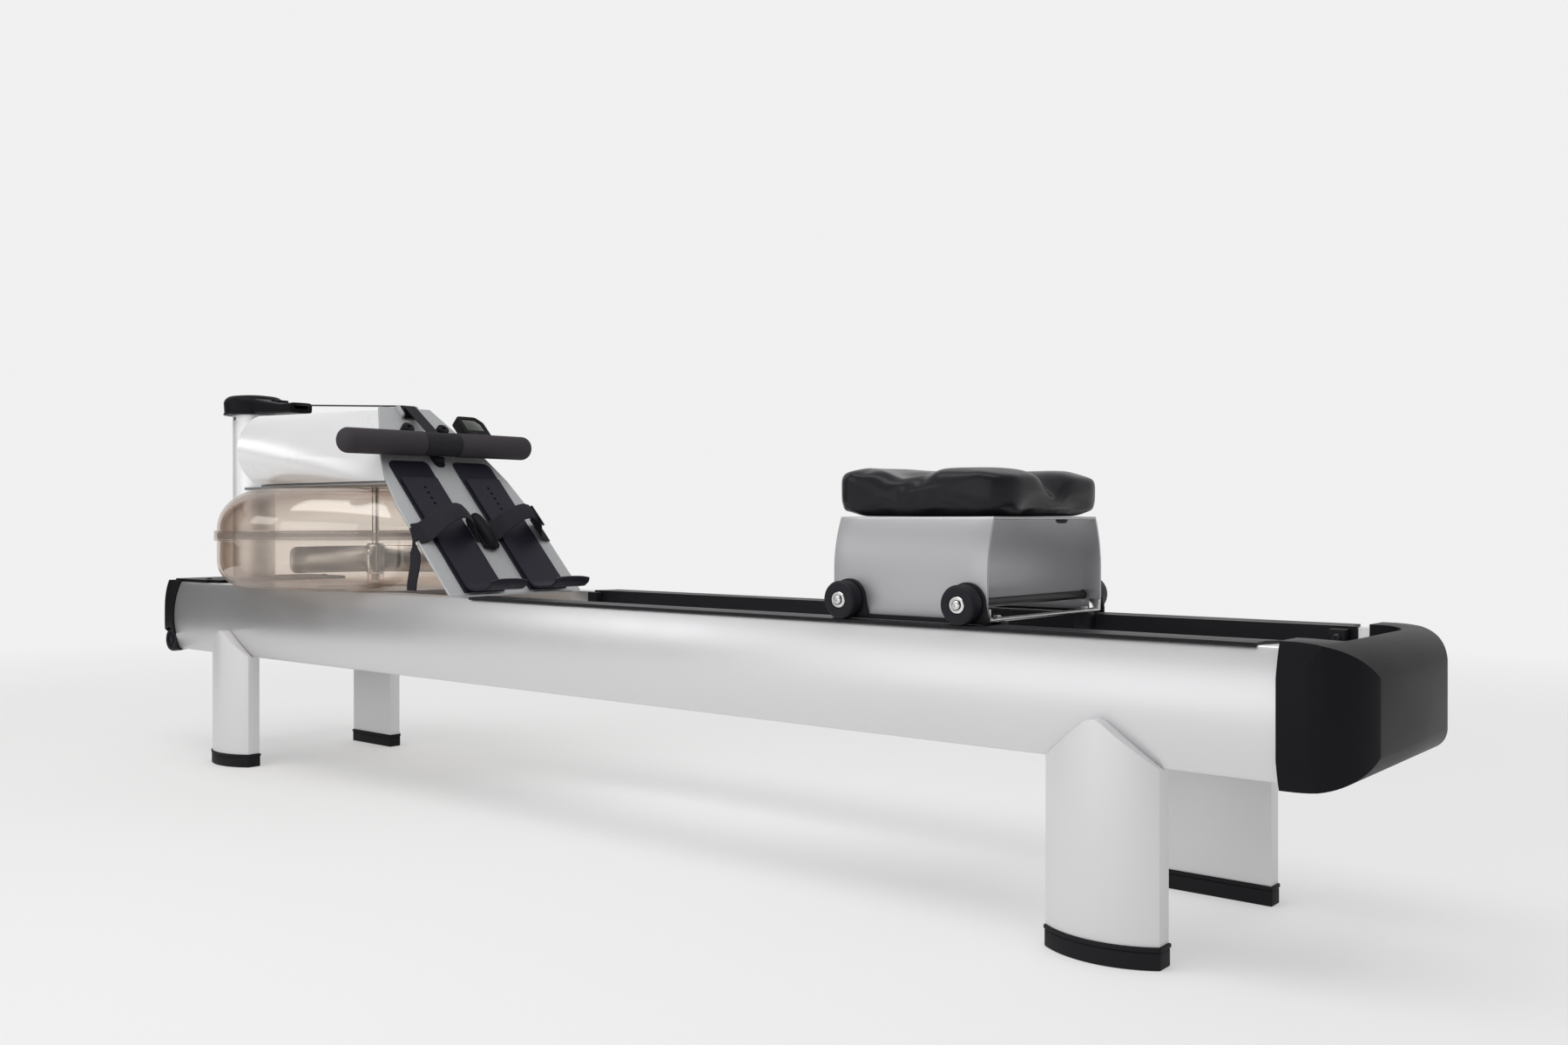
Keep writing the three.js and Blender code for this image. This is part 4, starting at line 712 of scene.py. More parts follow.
@dataclass(frozen=True)
class VeilFinish:
    """A glossy half-clear edge, as where two clear walls are welded."""

    name: str
    slot: str
    colour: Colour
    alpha: float = 0.42

    def material(self) -> bpy.types.Material:
        """The edge as a node material."""
        shader = Shader(self.name)
        cloud = shader.noise(12.0)
        values = {
            "Base Color": shader.tint(cloud, shade(self.colour, 0.9), shade(self.colour, 1.1)),
            "Roughness": cloud * 0.08 + 0.08,
            "Alpha": self.alpha,
            "Coat Weight": 0.8,
        }
        return shader.output(shader.node("ShaderNodeBsdfPrincipled", inputs=values))


@dataclass(frozen=True)
class DisplayFinish:
    """A dark display window with faint unlit bars behind it."""

    name: str
    slot: str

    def material(self) -> bpy.types.Material:
        """The window as a node material."""
        shader = Shader(self.name)
        bars = shader.noise(260.0, 0.0, (1.0, 1.0, 0.2)).above(0.6)
        colour = shader.tint(bars, (0.016, 0.022, 0.012), (0.022, 0.03, 0.017))
        values = {"Base Color": colour, "Roughness": 0.12, "Coat Weight": 0.6}
        return shader.output(shader.node("ShaderNodeBsdfPrincipled", inputs=values))


class Palette(Enum):
    """The machine's finishes."""

    RAIL = Finish("satin_extrusion", "rails", (0.72, 0.72, 0.73), 0.36, 0.82, 0.0, 0.03, 1400, 0.012)
    LEG = Finish("satin_leg", "rails", (0.74, 0.74, 0.75), 0.45, 0.3, 0.0, 0.03, 1500, 0.02, specks=0.3)
    HOOD = Finish("satin_sheet", "hood", (0.9, 0.9, 0.91), 0.3, 0.45, 0.0, 0.02, 1200, 0.01)
    COLUMN = Finish("satin_tube", "rails", (0.93, 0.93, 0.935), 0.36, 0.4, 0.0, 0.03, 1400, 0.012)
    COAT = Finish("silver_coat", "frame", (0.44, 0.44, 0.455), 0.4, 0.7, 0.0, 0.05, 1500, 0.02, specks=0.25)
    BOARD = Finish("hammered_coat", "board", (0.46, 0.465, 0.475), 0.5, 0.6, 0.0, 0.16, 700, 0.09, specks=0.4)
    TRACK = Finish(
        "black_nylon", "tracks", (0.012, 0.0115, 0.014), 0.42, variation=0.2, grain=1200, specular=0.16
    )
    FOOT = Finish(
        "black_rubber", "feet", (0.011, 0.011, 0.013), 0.6, variation=0.2, grain=1600, specular=0.16
    )
    BUMPER = Finish(
        "textured_moulding", "bumper", (0.009, 0.0085, 0.0105), 0.42,
        variation=0.15, grain=2200, depth=0.03, specular=0.08,
    )
    PAD = Finish("rubber_mat", "pads", (0.011, 0.0105, 0.018), 0.55, variation=0.2, grain=1800, specular=0.16)
    HEEL = Finish(
        "satin_moulding", "heels", (0.018, 0.016, 0.026), 0.5, variation=0.2, grain=1500, specular=0.16
    )
    BRIGHT = Finish(
        "zinc_plate", "bright", (0.72, 0.72, 0.71), 0.24, 1.0, variation=0.05, grain=500, depth=0.02
    )
    DARK = Finish(
        "black_oxide", "bright", (0.03, 0.03, 0.032), 0.35, 0.6, variation=0.1, grain=500, depth=0.02
    )
    WHEEL = Finish(
        "dark_tread", "wheels", (0.014, 0.0135, 0.018), 0.48, variation=0.15, grain=1500, specular=0.16
    )
    SKIN = Finish(
        "leatherette", "cushion", (0.0095, 0.009, 0.0125), 0.34, 0.0, 0.12, 0.2, 1300, 0.04, specular=0.16
    )
    FOAM = FoamFinish(
        "foam_sleeve", "grips", (0.05, 0.044, 0.05), 0.85, variation=0.25, depth=0.25, specular=0.15
    )
    WEBBING = WebbingFinish(
        "webbing", "webbing", (0.024, 0.0225, 0.028), 0.75, variation=0.3, depth=0.3, specular=0.15
    )
    CLEAR = ClearFinish("smoky_clear", "tank", (0.955, 0.925, 0.895), (0.62, 0.52, 0.46))
    SEAM = VeilFinish("smoky_seam", "tank", (0.34, 0.29, 0.26))
    DISPLAY = DisplayFinish("display_window", "screen")


class Workshop:
    """Keeps the finished materials and settles each piece on its body."""

    def __init__(self) -> None:
        """Starts with no material made."""
        self.made: dict[Palette, bpy.types.Material] = {}

    def material(self, finish: Palette) -> bpy.types.Material:
        """The finish's material, made once."""
        if finish not in self.made:
            self.made[finish] = finish.value.material()
        return self.made[finish]

    def settle(
        self,
        piece: Piece,
        finish: Palette,
        body: str,
        replaces: Sequence[str] = (),
        smooth: float = 38.0,
    ) -> Piece:
        """Dresses a piece and makes it ride on its body.

        Args:
            piece: The finished mesh.
            finish: Its finish.
            body: The body that it moves with; "" leaves it on no body.
            replaces: The CAD nodes that it stands for.
            smooth: The sharpest angle, in degrees, that is shaded smooth.

        Returns:
            The piece.
        """
        piece.data.materials.clear()
        piece.data.materials.append(self.material(finish))
        Bench.only(piece)
        bpy.ops.object.shade_smooth_by_angle(angle=math.radians(smooth))
        if body:
            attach(piece, body)
        if replaces:
            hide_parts(*replaces)
        LOG.info("%s: %d faces on %s", piece.name, len(piece.data.polygons), body or "two bodies")
        return piece

    def pair(
        self,
        piece: Piece,
        finish: Palette,
        body: str,
        replaces: Sequence[str] = (),
        smooth: float = 38.0,
    ) -> None:
        """Settles a right-hand piece and its mirror copy, named alike with left for right.

        Args:
            piece: The finished mesh of the right side.
            finish: The finish of both.
            body: The right piece's body.
            replaces: The CAD nodes that the right piece stands for.
            smooth: The sharpest angle, in degrees, that is shaded smooth.
        """

        def swap(name: str) -> str:
            """The left side's name."""
            return name.replace("right", "left")

        other = Bench.across(piece, swap(piece.name))
        self.settle(piece, finish, body, replaces, smooth)
        self.settle(other, finish, swap(body), [swap(node) for node in replaces], smooth)


SHOP = Workshop()


def node_box(node: str) -> tuple[Vector, Vector]:
    """A CAD node's lowest and highest corners, in millimetres."""
    low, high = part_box(node)
    return low / MM, high / MM


def middle_x(node: str) -> float:
    """The x of a CAD node's middle, in millimetres."""
    low, high = node_box(node)
    return (low.x + high.x) / 2


# ---- what the rails, bumper and end cap share ------------------------------------------------------
@dataclass(frozen=True)
class BarrelSection:
    """The barrel-sided section of the rails, for the right side, in millimetres."""

    inner_y: float
    bulge_y: float
    bottom_z: float
    top_z: float
    bulge_height: float = 55.0
    top_inset: float = 13.4
    bottom_inset: float = 11.4

    @classmethod
    def from_frame(cls) -> "BarrelSection":
        """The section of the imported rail."""
        low, high = node_box("right_rail")
        return cls(low.y, high.y, low.z, high.z)

    @property
    def top_y(self) -> float:
        """Where the flat top ends."""
        return self.bulge_y - self.top_inset

    def side(self, grow: float, steps: int = 28) -> list[Point2]:
        """The curved side from bottom to top, grown outwards."""
        bottom = (self.bulge_y - self.bottom_inset + grow, self.bottom_z - grow)
        middle = (self.bulge_y + grow, self.bottom_z + self.bulge_height)
        top = (self.top_y + grow, self.top_z + grow)
        return arc_through(bottom, middle, top, steps)

    def whole(self, grow: float) -> list[Point2]:
        """The outline across both sides."""
        side = self.side(grow)
        return side + mirrored_outline(side)


BARREL = BarrelSection.from_frame()


def fastener(name: str, centre: Point3, axis: str, radius: float, height: float, away: int = 1) -> Piece:
    """A domed bolt head with a round socket.

    Args:
        name: The new piece's name.
        centre: The middle of the face that it sits on, in millimetres.
        axis: "Y" or "Z", the bolt's axis.
        radius: The head's radius.
        height: The head's height.
        away: 1 or -1, the way the head stands along the axis.

    Returns:
        The head.
    """
    socket = radius * 0.45
    profile = [(0, 0), (radius, 0), (radius, height * 0.5), (radius * 0.8, height * 0.85)]
    profile += [(radius * 0.6, height), (socket, height), (socket, height * 0.45), (0, height * 0.45)]
    return Bench.turned(name, [(r, h * away) for r, h in profile], centre, axis, 24)


# ---- the frame: rails, tracks, legs ----------------------------------------------------------------
@dataclass
class Chassis:
    """Two rails with their tracks, the legs with their feet, and the beams between the rails."""

    ledge_drop: float = 23.4
    ledge_width: float = 11.6
    lip_drop: float = 1.6
    leg_half_length: float = 60.0
    leg_inner_y: float = 130.0
    leg_end_y: float = 150.0
    leg_bulge: float = 20.0
    leg_apex: float = 236.0
    leg_eaves: float = 185.0
    foot_lip: float = 4.2
    beam_wall: float = 4.0

    def build(self) -> None:
        """Makes every piece of the chassis."""
        self.rails()
        self.tracks()
        self.legs()
        self.beams()

    def rails(self) -> None:
        """The two barrel-sided extrusions."""
        low, high = node_box("right_rail")
        top, ledge = BARREL.top_z, BARREL.top_z - self.ledge_drop
        inner_top = low.y + self.ledge_width
        corners = [(low.y, low.z, 2.0), (BARREL.bulge_y - BARREL.bottom_inset, low.z, 2.0)]
        corners += BARREL.side(0)[1:-1]
        corners += [(BARREL.top_y, top, 2.0), (inner_top, top), (inner_top, ledge), (low.y, ledge)]
        outline = rounded(corners, 3)
        rail = Bench.soften(Bench.prism("rail_right", outline, Plane.ALONG_X, low.x, high.x), 0.8, 2, 50)
        SHOP.pair(rail, Palette.RAIL, "frame", ["right_rail"])

    def tracks(self) -> None:
        """The black tracks, each an angle with grooves on its flange, and the stops at their ends."""
        low, high = node_box("right_track")
        inner = BARREL.inner_y + self.ledge_width - 3.3
        web = inner + 3.0
        top, under = high.z, high.z - 2.2
        outline = [
            (inner, low.z),
            (web, low.z),
            (web, under),
            (high.y - 1.4, under),
            (high.y - 1.4, under - self.lip_drop),
        ]
        outline += [(high.y, under - self.lip_drop), (high.y, top - 0.5), (high.y - 0.5, top)]
        for groove in (high.y - 8, high.y - 16, inner + 16):
            outline += [
                (groove + 0.8, top), (groove + 0.5, top - 0.6), (groove - 0.5, top - 0.6), (groove - 0.8, top)
            ]
        outline += [(inner, top)]
        track = Bench.prism("track_right", outline, Plane.ALONG_X, low.x, high.x)
        for vertex in track.data.vertices:
            reach = vertex.co.y / MM - web
            if reach > 0:
                vertex.co.x -= math.copysign(min(reach, 12.0) * 0.8 * MM, vertex.co.x - 0.4)
        stops = [low.x, high.x - 25]
        pieces = [track]
        for k, x in enumerate(stops):
            stop = Bench.block(
                f"stop_{k}", (x, inner - 15, BARREL.top_z - 18), (x + 18, inner - 0.1, BARREL.top_z)
            )
            pieces.append(Bench.soften(stop, 1.2, 3))
        screw = fastener("stop_screw_right", (stops[1] + 9, inner - 15, BARREL.top_z - 9), "Y", 4.4, 2.2, -1)
        whole = Bench.join(pieces, "track_right")
        SHOP.pair(whole, Palette.TRACK, "frame", ["right_track"])
        SHOP.pair(screw, Palette.DARK, "frame")

    def half_moon(self, x: float, grow: float) -> list[Point2]:
        """The plan of a leg about x, flat inside and bulging outside, grown outwards."""
        ends, shoulder = self.leg_half_length + grow, self.leg_end_y + grow * 0.5
        outer = self.leg_end_y + self.leg_bulge + grow
        arc = arc_through((x + ends, shoulder), (x, outer), (x - ends, shoulder), 28)
        flat = self.leg_inner_y - grow
        return [(x - ends, flat), (x + ends, flat), *arc]

    def legs(self) -> None:
        """Four legs with gabled tops that wrap the rails, and their rubber feet."""
        for end in ("rear", "front"):
            low, high = node_box(f"right_{end}_leg")
            foot_low, foot_high = node_box(f"right_{end}_foot")
            x = (low.x + high.x) / 2
            near, far = x - self.leg_half_length - 5, x + self.leg_half_length + 5
            apex, eaves = self.leg_apex, self.leg_eaves
            gable = rounded([(near, low.z), (far, low.z), (far, eaves), (x, apex, 16), (near, eaves)])
            leg = Bench.prism(f"leg_{end}_right", self.half_moon(x, 0), Plane.ALONG_Z, low.z, apex + 8)
            Bench.combine(leg, Bench.prism("gable", gable, Plane.ALONG_Y, 100, 200), "INTERSECT")
            Bench.combine(leg, Bench.prism("room", BARREL.whole(0.3), Plane.ALONG_X, low.x - 20, high.x + 20))
            Bench.soften(leg, 1.6, 3, 35)
            step = foot_high.z - self.foot_lip
            foot = Bench.prism(f"foot_{end}_right", self.half_moon(x, 1.2), Plane.ALONG_Z, foot_low.z, step)
            lip = Bench.prism("lip", self.half_moon(x, 2.0), Plane.ALONG_Z, step, foot_high.z)
            foot = Bench.join([Bench.soften(foot, 1.4, 3), Bench.soften(lip, 0.9, 3)], f"foot_{end}_right")
            SHOP.pair(leg, Palette.LEG, "frame", [f"right_{end}_leg"])
            SHOP.pair(foot, Palette.FOOT, "frame", [f"right_{end}_foot"])

    def beams(self) -> None:
        """The square tubes between the rails."""
        for name in ("front", "middle", "rear"):
            node = f"{name}_cross_member"
            low, high = node_box(node)
            outline = rounded_box((low.x, low.z), (high.x, high.z), 5, 4)
            beam = Bench.prism(f"beam_{name}", outline, Plane.ALONG_Y, low.y, high.y)
            wall = self.beam_wall
            hole = rounded_box((low.x + wall, low.z + wall), (high.x - wall, high.z - wall), 2, 3)
            Bench.combine(beam, Bench.prism("bore", hole, Plane.ALONG_Y, low.y - 5, high.y + 5))
            SHOP.settle(beam, Palette.COAT, "frame", [node])


# ---- mouldings at the two ends ---------------------------------------------------------------------
@dataclass
class TailBumper:
    """The black moulding on the rails' tail."""

    shoulder_y: float = 106.0
    shoulder_back: float = 4.0
    proud: float = 5.5
    pocket_x: float = 37.0
    pocket_y: float = 103.0

    def build(self) -> None:
        """Makes the moulding from its plan, its side view and the rails' section."""
        low, high = node_box("tail_bumper")
        start, tail = low.x, high.x
        shoulder = (tail - self.shoulder_back, self.shoulder_y)
        wide = BARREL.bulge_y + 2
        side = arc_through((start, wide), (start + 42, wide - 11), shoulder, 20)
        back = arc_through(shoulder, (tail, 0), (shoulder[0], -shoulder[1]), 24)
        plan = side + back[1:-1] + mirrored_outline(side, 1)
        middle, half = (low.z + high.z) / 2, (high.z - low.z) / 2
        depth = tail - start
        steps = 44
        nose: list[Point2] = []
        for k in range(steps + 1):
            angle = -math.pi / 2 + math.pi * k / steps
            sine, cosine = math.sin(angle), max(math.cos(angle), 0.0)
            reach = depth * cosine ** (2 / 3)
            nose.append((start + reach, middle + half * math.copysign(abs(sine) ** (2 / 3), sine)))
        outline = [(start - 5, middle - half), *nose, (start - 5, middle + half)]
        body = Bench.prism("tail_bumper_moulding", plan, Plane.ALONG_Z, low.z - 10, high.z + 10)
        Bench.combine(body, Bench.prism("nose", outline, Plane.ALONG_Y, -200, 200), "INTERSECT")
        barrel = Bench.prism("barrel", BARREL.whole(self.proud), Plane.ALONG_X, start, tail + 10)
        Bench.combine(body, barrel, "INTERSECT")
        reach, half_gap = start + self.pocket_x, self.pocket_y
        corners = [
            (start - 20, -half_gap), (reach, -half_gap, 24), (reach, half_gap, 24), (start - 20, half_gap)
        ]
        pocket = rounded(corners, 8)
        Bench.combine(body, Bench.prism("pocket", pocket, Plane.ALONG_Z, low.z - 20, high.z + 20))
        Bench.tidy(body, 2e-4)
        Bench.soften(body, 2.6, 4, 24)
        SHOP.settle(body, Palette.BUMPER, "frame", ["tail_bumper"], 32)


@dataclass
class FrontEnd:
    """The front end cap, its cover plate and the transport wheels."""

    proud: float = 2.5
    wall: float = 5.0
    wheel_radius: float = 21.0
    wheel_z: float = 203.0
    wheel_outer_y: float = 150.0
    wheel_width: float = 20.0
    plate_tail: float = -908.0
    screw_x: float = -965.0

    def build(self) -> None:
        """Makes the cap, the plate and the wheels."""
        low, high = node_box("front_end_cap")
        start = node_box("right_rail")[0].x - 0.3
        wide = BARREL.bulge_y + self.proud + 2
        plan = rounded([(low.x, -wide, 20), (start, -wide), (start, wide), (low.x, wide, 20)], 10)
        cap = Bench.prism("end_cap", BARREL.whole(self.proud), Plane.ALONG_X, low.x, start)
        Bench.combine(cap, Bench.prism("plan", plan, Plane.ALONG_Z, 100, 400), "INTERSECT")
        room = Bench.prism(
            "room", BARREL.whole(self.proud - self.wall), Plane.ALONG_X, low.x + self.wall, start + 40
        )
        Bench.combine(cap, room)
        axle_x = low.x + self.wheel_radius
        inner = self.wheel_outer_y - self.wheel_width - 3
        for side in Side:
            y0, y1 = sorted((side.value * inner, side.value * 200))
            well = Bench.prism(
                "well", circle(axle_x, self.wheel_z, self.wheel_radius + 3, 40), Plane.ALONG_Y, y0, y1
            )
            Bench.combine(cap, well)
        Bench.soften(cap, 1.2, 3, 45)
        column_x = middle_x("front_column")
        edge = BARREL.top_y - 3
        step = self.plate_tail - 26
        half = [
            (low.x + 8, -edge, 10), (step, -edge, 3), (step, 10 - edge, 3), (self.plate_tail, 10 - edge, 4)
        ]
        outline = rounded([*half, *[(x, -y, r) for x, y, r in reversed(half)]], 5)
        plate = Bench.prism("cover_plate", outline, Plane.ALONG_Z, BARREL.top_z + 0.3, high.z)
        Bench.combine(plate, Bench.prism("hole", circle(column_x, 0, 38.6, 64), Plane.ALONG_Z, 250, 400))
        Bench.soften(plate, 1.0, 3)
        SHOP.settle(cap, Palette.BUMPER, "frame", ["front_end_cap"])
        SHOP.settle(plate, Palette.BUMPER, "frame")
        for k, y in enumerate((-edge + 22, edge - 22)):
            screw = fastener(f"cover_screw_{k}", (self.screw_x, y, high.z), "Z", 5.5, 2.4)
            SHOP.settle(screw, Palette.DARK, "frame")
        self.wheels(axle_x)

    def wheels(self, axle_x: float) -> None:
        """The two transport wheels on their axle."""
        outer, width, radius = self.wheel_outer_y, self.wheel_width, self.wheel_radius
        parts = []
        for side in Side:
            y0, y1 = outer - width, outer
            profile = [(5, y0), (radius - 1.5, y0), (radius, y0 + 2), (radius, y1 - 3), (radius - 2, y1)]
            profile += [
                (radius - 7, y1), (radius - 8, y1 - 3), (7, y1 - 3), (6, y1 - 0.5), (0, y1 - 0.5), (0, y0)
            ]
            places = [(r, h * side.value) for r, h in profile]
            parts.append(Bench.turned(f"transport_{side.word}", places, (axle_x, 0, self.wheel_z), "Y", 40))
        rod = Bench.turned(
            "transport_axle", [(0, -131), (5, -131), (5, 131), (0, 131)], (axle_x, 0, self.wheel_z), "Y", 24
        )
        wheelset = Bench.join([*parts, rod], "transport_wheels_on_axle")
        SHOP.settle(wheelset, Palette.WHEEL, "transport_wheels", ["transport_wheelset"])


# ---- the tank and its drive ------------------------------------------------------------------------
@dataclass
class Tank:
    """The clear tank with its impeller, drum, deck plate and hood."""

    wall: float = 4.0
    low_corner: float = 46.0
    shoulder_width: float = 72.0
    shoulder_height: float = 66.0
    flange: float = 4.5
    flange_height: float = 8.3
    top: float = 473.0
    blade_low: float = 334.0
    blade_high: float = 378.0
    blade_reach: float = 150.0
    blade_count: int = 6
    strap_z: float = 582.0
    hood_front: float = -803.0
    hood_bulge_y: float = 150.0
    hood_bulge_z: float = 542.5
    hood_radius: float = 65.6
    hood_top: float = 603.0
    hood_sheet: float = 2.5
    sides: int = 128
    centre_x: float = field(init=False)
    radius: float = field(init=False)

    def __post_init__(self) -> None:
        """Takes the tank's place and radius from the frame."""
        low, high = node_box("tank_lower_shell")
        self.centre_x = (low.x + high.x) / 2
        self.radius = high.y - self.flange

    def build(self) -> None:
        """Makes the shells, what turns in them and the sheet metal above."""
        self.shells()
        self.drive()
        self.deck()
        self.hood()

    def shells(self) -> None:
        """The two clear shells, which meet at a flange."""
        low, seam = node_box("tank_lower_shell")
        seam_high, top = node_box("tank_upper_shell")[0].z, self.top
        r, wall, corner = self.radius, self.wall, self.low_corner

        def bend(radius: float, start: float, end: float) -> list[Point2]:
            """The rounded lower rim at a radius, between two angles in degrees."""
            steps = [math.radians(start + (end - start) * k / 12) for k in range(13)]
            return [(r - corner + radius * math.cos(t), low.z + corner + radius * math.sin(t)) for t in steps]

        def shoulder(inset: float, start: float, end: float) -> list[Point2]:
            """The wide upper rim, an ellipse in section."""
            steps = [math.radians(start + (end - start) * k / 16) for k in range(17)]
            across, height = self.shoulder_width, self.shoulder_height
            return [
                (r - across + (across - inset) * math.cos(t), top - height + (height - inset) * math.sin(t))
                for t in steps
            ]

        lower = [(0, low.z), *bend(corner, -90, 0), (r, seam.z - self.flange_height)]
        lower += [
            (r + self.flange, seam.z - self.flange_height), (r + self.flange, seam.z), (r - wall, seam.z)
        ]
        boss = [(14, low.z + wall), (14, low.z + 20), (7, low.z + 20), (7, low.z + 8), (0, low.z + 8)]
        lower += [*bend(corner - wall, 0, -90), *boss]
        upper = [
            (r - wall, seam_high),
            (r + self.flange, seam_high),
            (r + self.flange, seam_high + self.flange_height),
        ]
        upper += [
            (r, seam_high + self.flange_height),
            *shoulder(0, 0, 90),
            (30, top),
            (30, top + 4.7),
            (6.5, top + 4.7),
        ]
        upper += [(6.5, top - wall), *shoulder(wall, 90, 0)]
        ring, half = r + self.flange, self.flange_height * 0.72
        middle = (seam.z + seam_high) / 2
        bottom, peak, outer = middle - half, middle + half, ring + 0.4
        gasket = [(r - 1, bottom), (outer, bottom), (outer, peak), (r - 1, peak)]
        band = Bench.turned("tank_seam", gasket, (self.centre_x, 0, 0), "Z", self.sides)
        SHOP.settle(Bench.soften(band, 1.2, 3, 50), Palette.SEAM, "frame")
        for name, profile in (("lower", lower), ("upper", upper)):
            shell = Bench.turned(f"tank_{name}", profile, (self.centre_x, 0, 0), "Z", self.sides)
            Bench.soften(shell, 0.8, 2, 50)
            SHOP.settle(shell, Palette.CLEAR, "frame", [f"tank_{name}_shell"])

    def drive(self) -> None:
        """The impeller on its shaft, and the strap drum."""
        low, high = node_box("impeller")
        z0, z1 = self.blade_low, self.blade_high
        hub = [(6, z0 - 4), (13, z0 - 4), (15, z0 - 2), (15, z1 + 2), (13, z1 + 4), (6, z1 + 4)]
        shaft = [(0, low.z), (5.2, low.z), (6, low.z + 1), *hub, (6, high.z - 1), (5.2, high.z), (0, high.z)]
        parts = [Bench.turned("shaft", shaft, (self.centre_x, 0, 0), "Z", 32)]
        outline = rounded([(8, z0), (self.blade_reach, z0, 12), (self.blade_reach, z1, 12), (8, z1)], 5)
        blade = Bench.soften(Bench.prism("blade", outline, Plane.ALONG_Y, -1.5, 1.5), 0.5, 2)
        move = Matrix.Translation((self.centre_x * MM, 0, 0))
        for k in range(self.blade_count):
            turn = Matrix.Rotation(2 * math.pi * k / self.blade_count + math.pi / 8, 4, "Z")
            parts.append(Bench.twin(blade, f"blade_{k}", move @ turn))
        bpy.data.objects.remove(blade, do_unlink=True)
        SHOP.settle(Bench.join(parts, "paddle_and_shaft"), Palette.BRIGHT, "impeller", ["impeller"])
        low, high = node_box("strap_drum")
        core, edge, bore = 34.0, 42.0, 6.4
        profile = [(bore, low.z), (edge, low.z), (edge, low.z + 3), (core, low.z + 3.6), (core, high.z - 3.6)]
        profile += [(edge, high.z - 3), (edge, high.z), (edge - 6, high.z), (edge - 8, high.z - 2)]
        profile += [(14, high.z - 2), (12, high.z), (bore, high.z)]
        drum = Bench.turned("drum", profile, (self.centre_x, 0, 0), "Z", 56)
        SHOP.settle(drum, Palette.TRACK, "strap_drum", ["strap_drum"])

    def deck(self) -> None:
        """The plate over the tank, with a tongue to the column."""
        low, high = node_box("deck_plate")
        column_x = middle_x("front_column")
        tongue, half, flare = 34.0, high.y, self.hood_front - 10
        half_outline = [(low.x, -tongue), (flare - 40, -tongue, 20), (flare, -half, 20), (high.x, -half)]
        mirror = [(p[0], -p[1], *p[2:]) for p in reversed(half_outline)]
        plate = Bench.prism("deck", rounded([*half_outline, *mirror], 8), Plane.ALONG_Z, low.z, high.z)
        for x, radius, sides in ((column_x, 38.4, 64), (self.centre_x, 6.5, 24)):
            hole = Bench.prism("hole", circle(x, 0, radius, sides), Plane.ALONG_Z, low.z - 5, high.z + 5)
            Bench.combine(plate, hole)
        Bench.soften(plate, 0.8, 2)
        SHOP.settle(plate, Palette.COAT, "frame", ["deck_plate"])

    def front_half(self, z: float) -> float:
        """Half the hood's width at its front, by height."""
        rise = z - self.hood_bulge_z
        return self.hood_bulge_y - self.hood_radius + math.sqrt(self.hood_radius**2 - rise**2)

    def tail_half(self, z: float) -> float:
        """Half the hood's width at the footboard, by height."""
        return BOARD.half_width(BOARD.height_at(z)) - 3.0

    def hood(self) -> None:
        """The hood: sheet drawn from a round-sided front to the footboard's narrowing back."""
        bottom = node_box("hood")[0].z
        top = self.hood_top

        def skin(u: float, v: float) -> Vector:
            """The hood at u from front to tail and v round from the left hem to the right."""
            run = abs(v - 0.5) * 2
            flat = 0.22
            side = 1 if v > 0.5 else -1
            z = top if run < flat else top - (top - bottom) * ((run - flat) / (1 - flat))
            width = self.front_half(z) + (self.tail_half(z) - self.front_half(z)) * u
            if run < flat:
                width *= run / flat
            x = self.hood_front + (BOARD.back_x(z) - 0.5 - self.hood_front) * u
            return Vector((x, side * width, z)) * MM

        cover = Bench.sheet("hood_cover", (48, 82), skin)
        Bench.tidy(cover)
        Bench.thicken(cover, self.hood_sheet, -1.0)
        roller_low, roller_high = node_box("guide_roller")
        corner = (roller_low.x - 4, roller_low.y + 3, roller_low.z - 4)
        notch = Bench.block("notch", corner, (-400, roller_high.y - 3, 700))
        Bench.combine(cover, notch)
        heights = [bottom + (top - 0.4 - bottom) * k / 30 for k in range(31)]
        rim = [(self.front_half(z) - self.hood_sheet, z) for z in heights]
        outline = rim + mirrored_outline(rim)
        front = Bench.prism("hood_front", outline, Plane.ALONG_X, self.hood_front, self.hood_front + 2.5)
        slot = rounded_box((-30, self.strap_z - 14), (30, self.strap_z + 10), 6, 6)
        Bench.combine(
            front, Bench.prism("slot", slot, Plane.ALONG_X, self.hood_front - 5, self.hood_front + 8)
        )
        Bench.soften(front, 0.6, 2)
        SHOP.settle(Bench.join([cover, front], "hood_sheet_metal"), Palette.HOOD, "frame", ["hood"], 30)


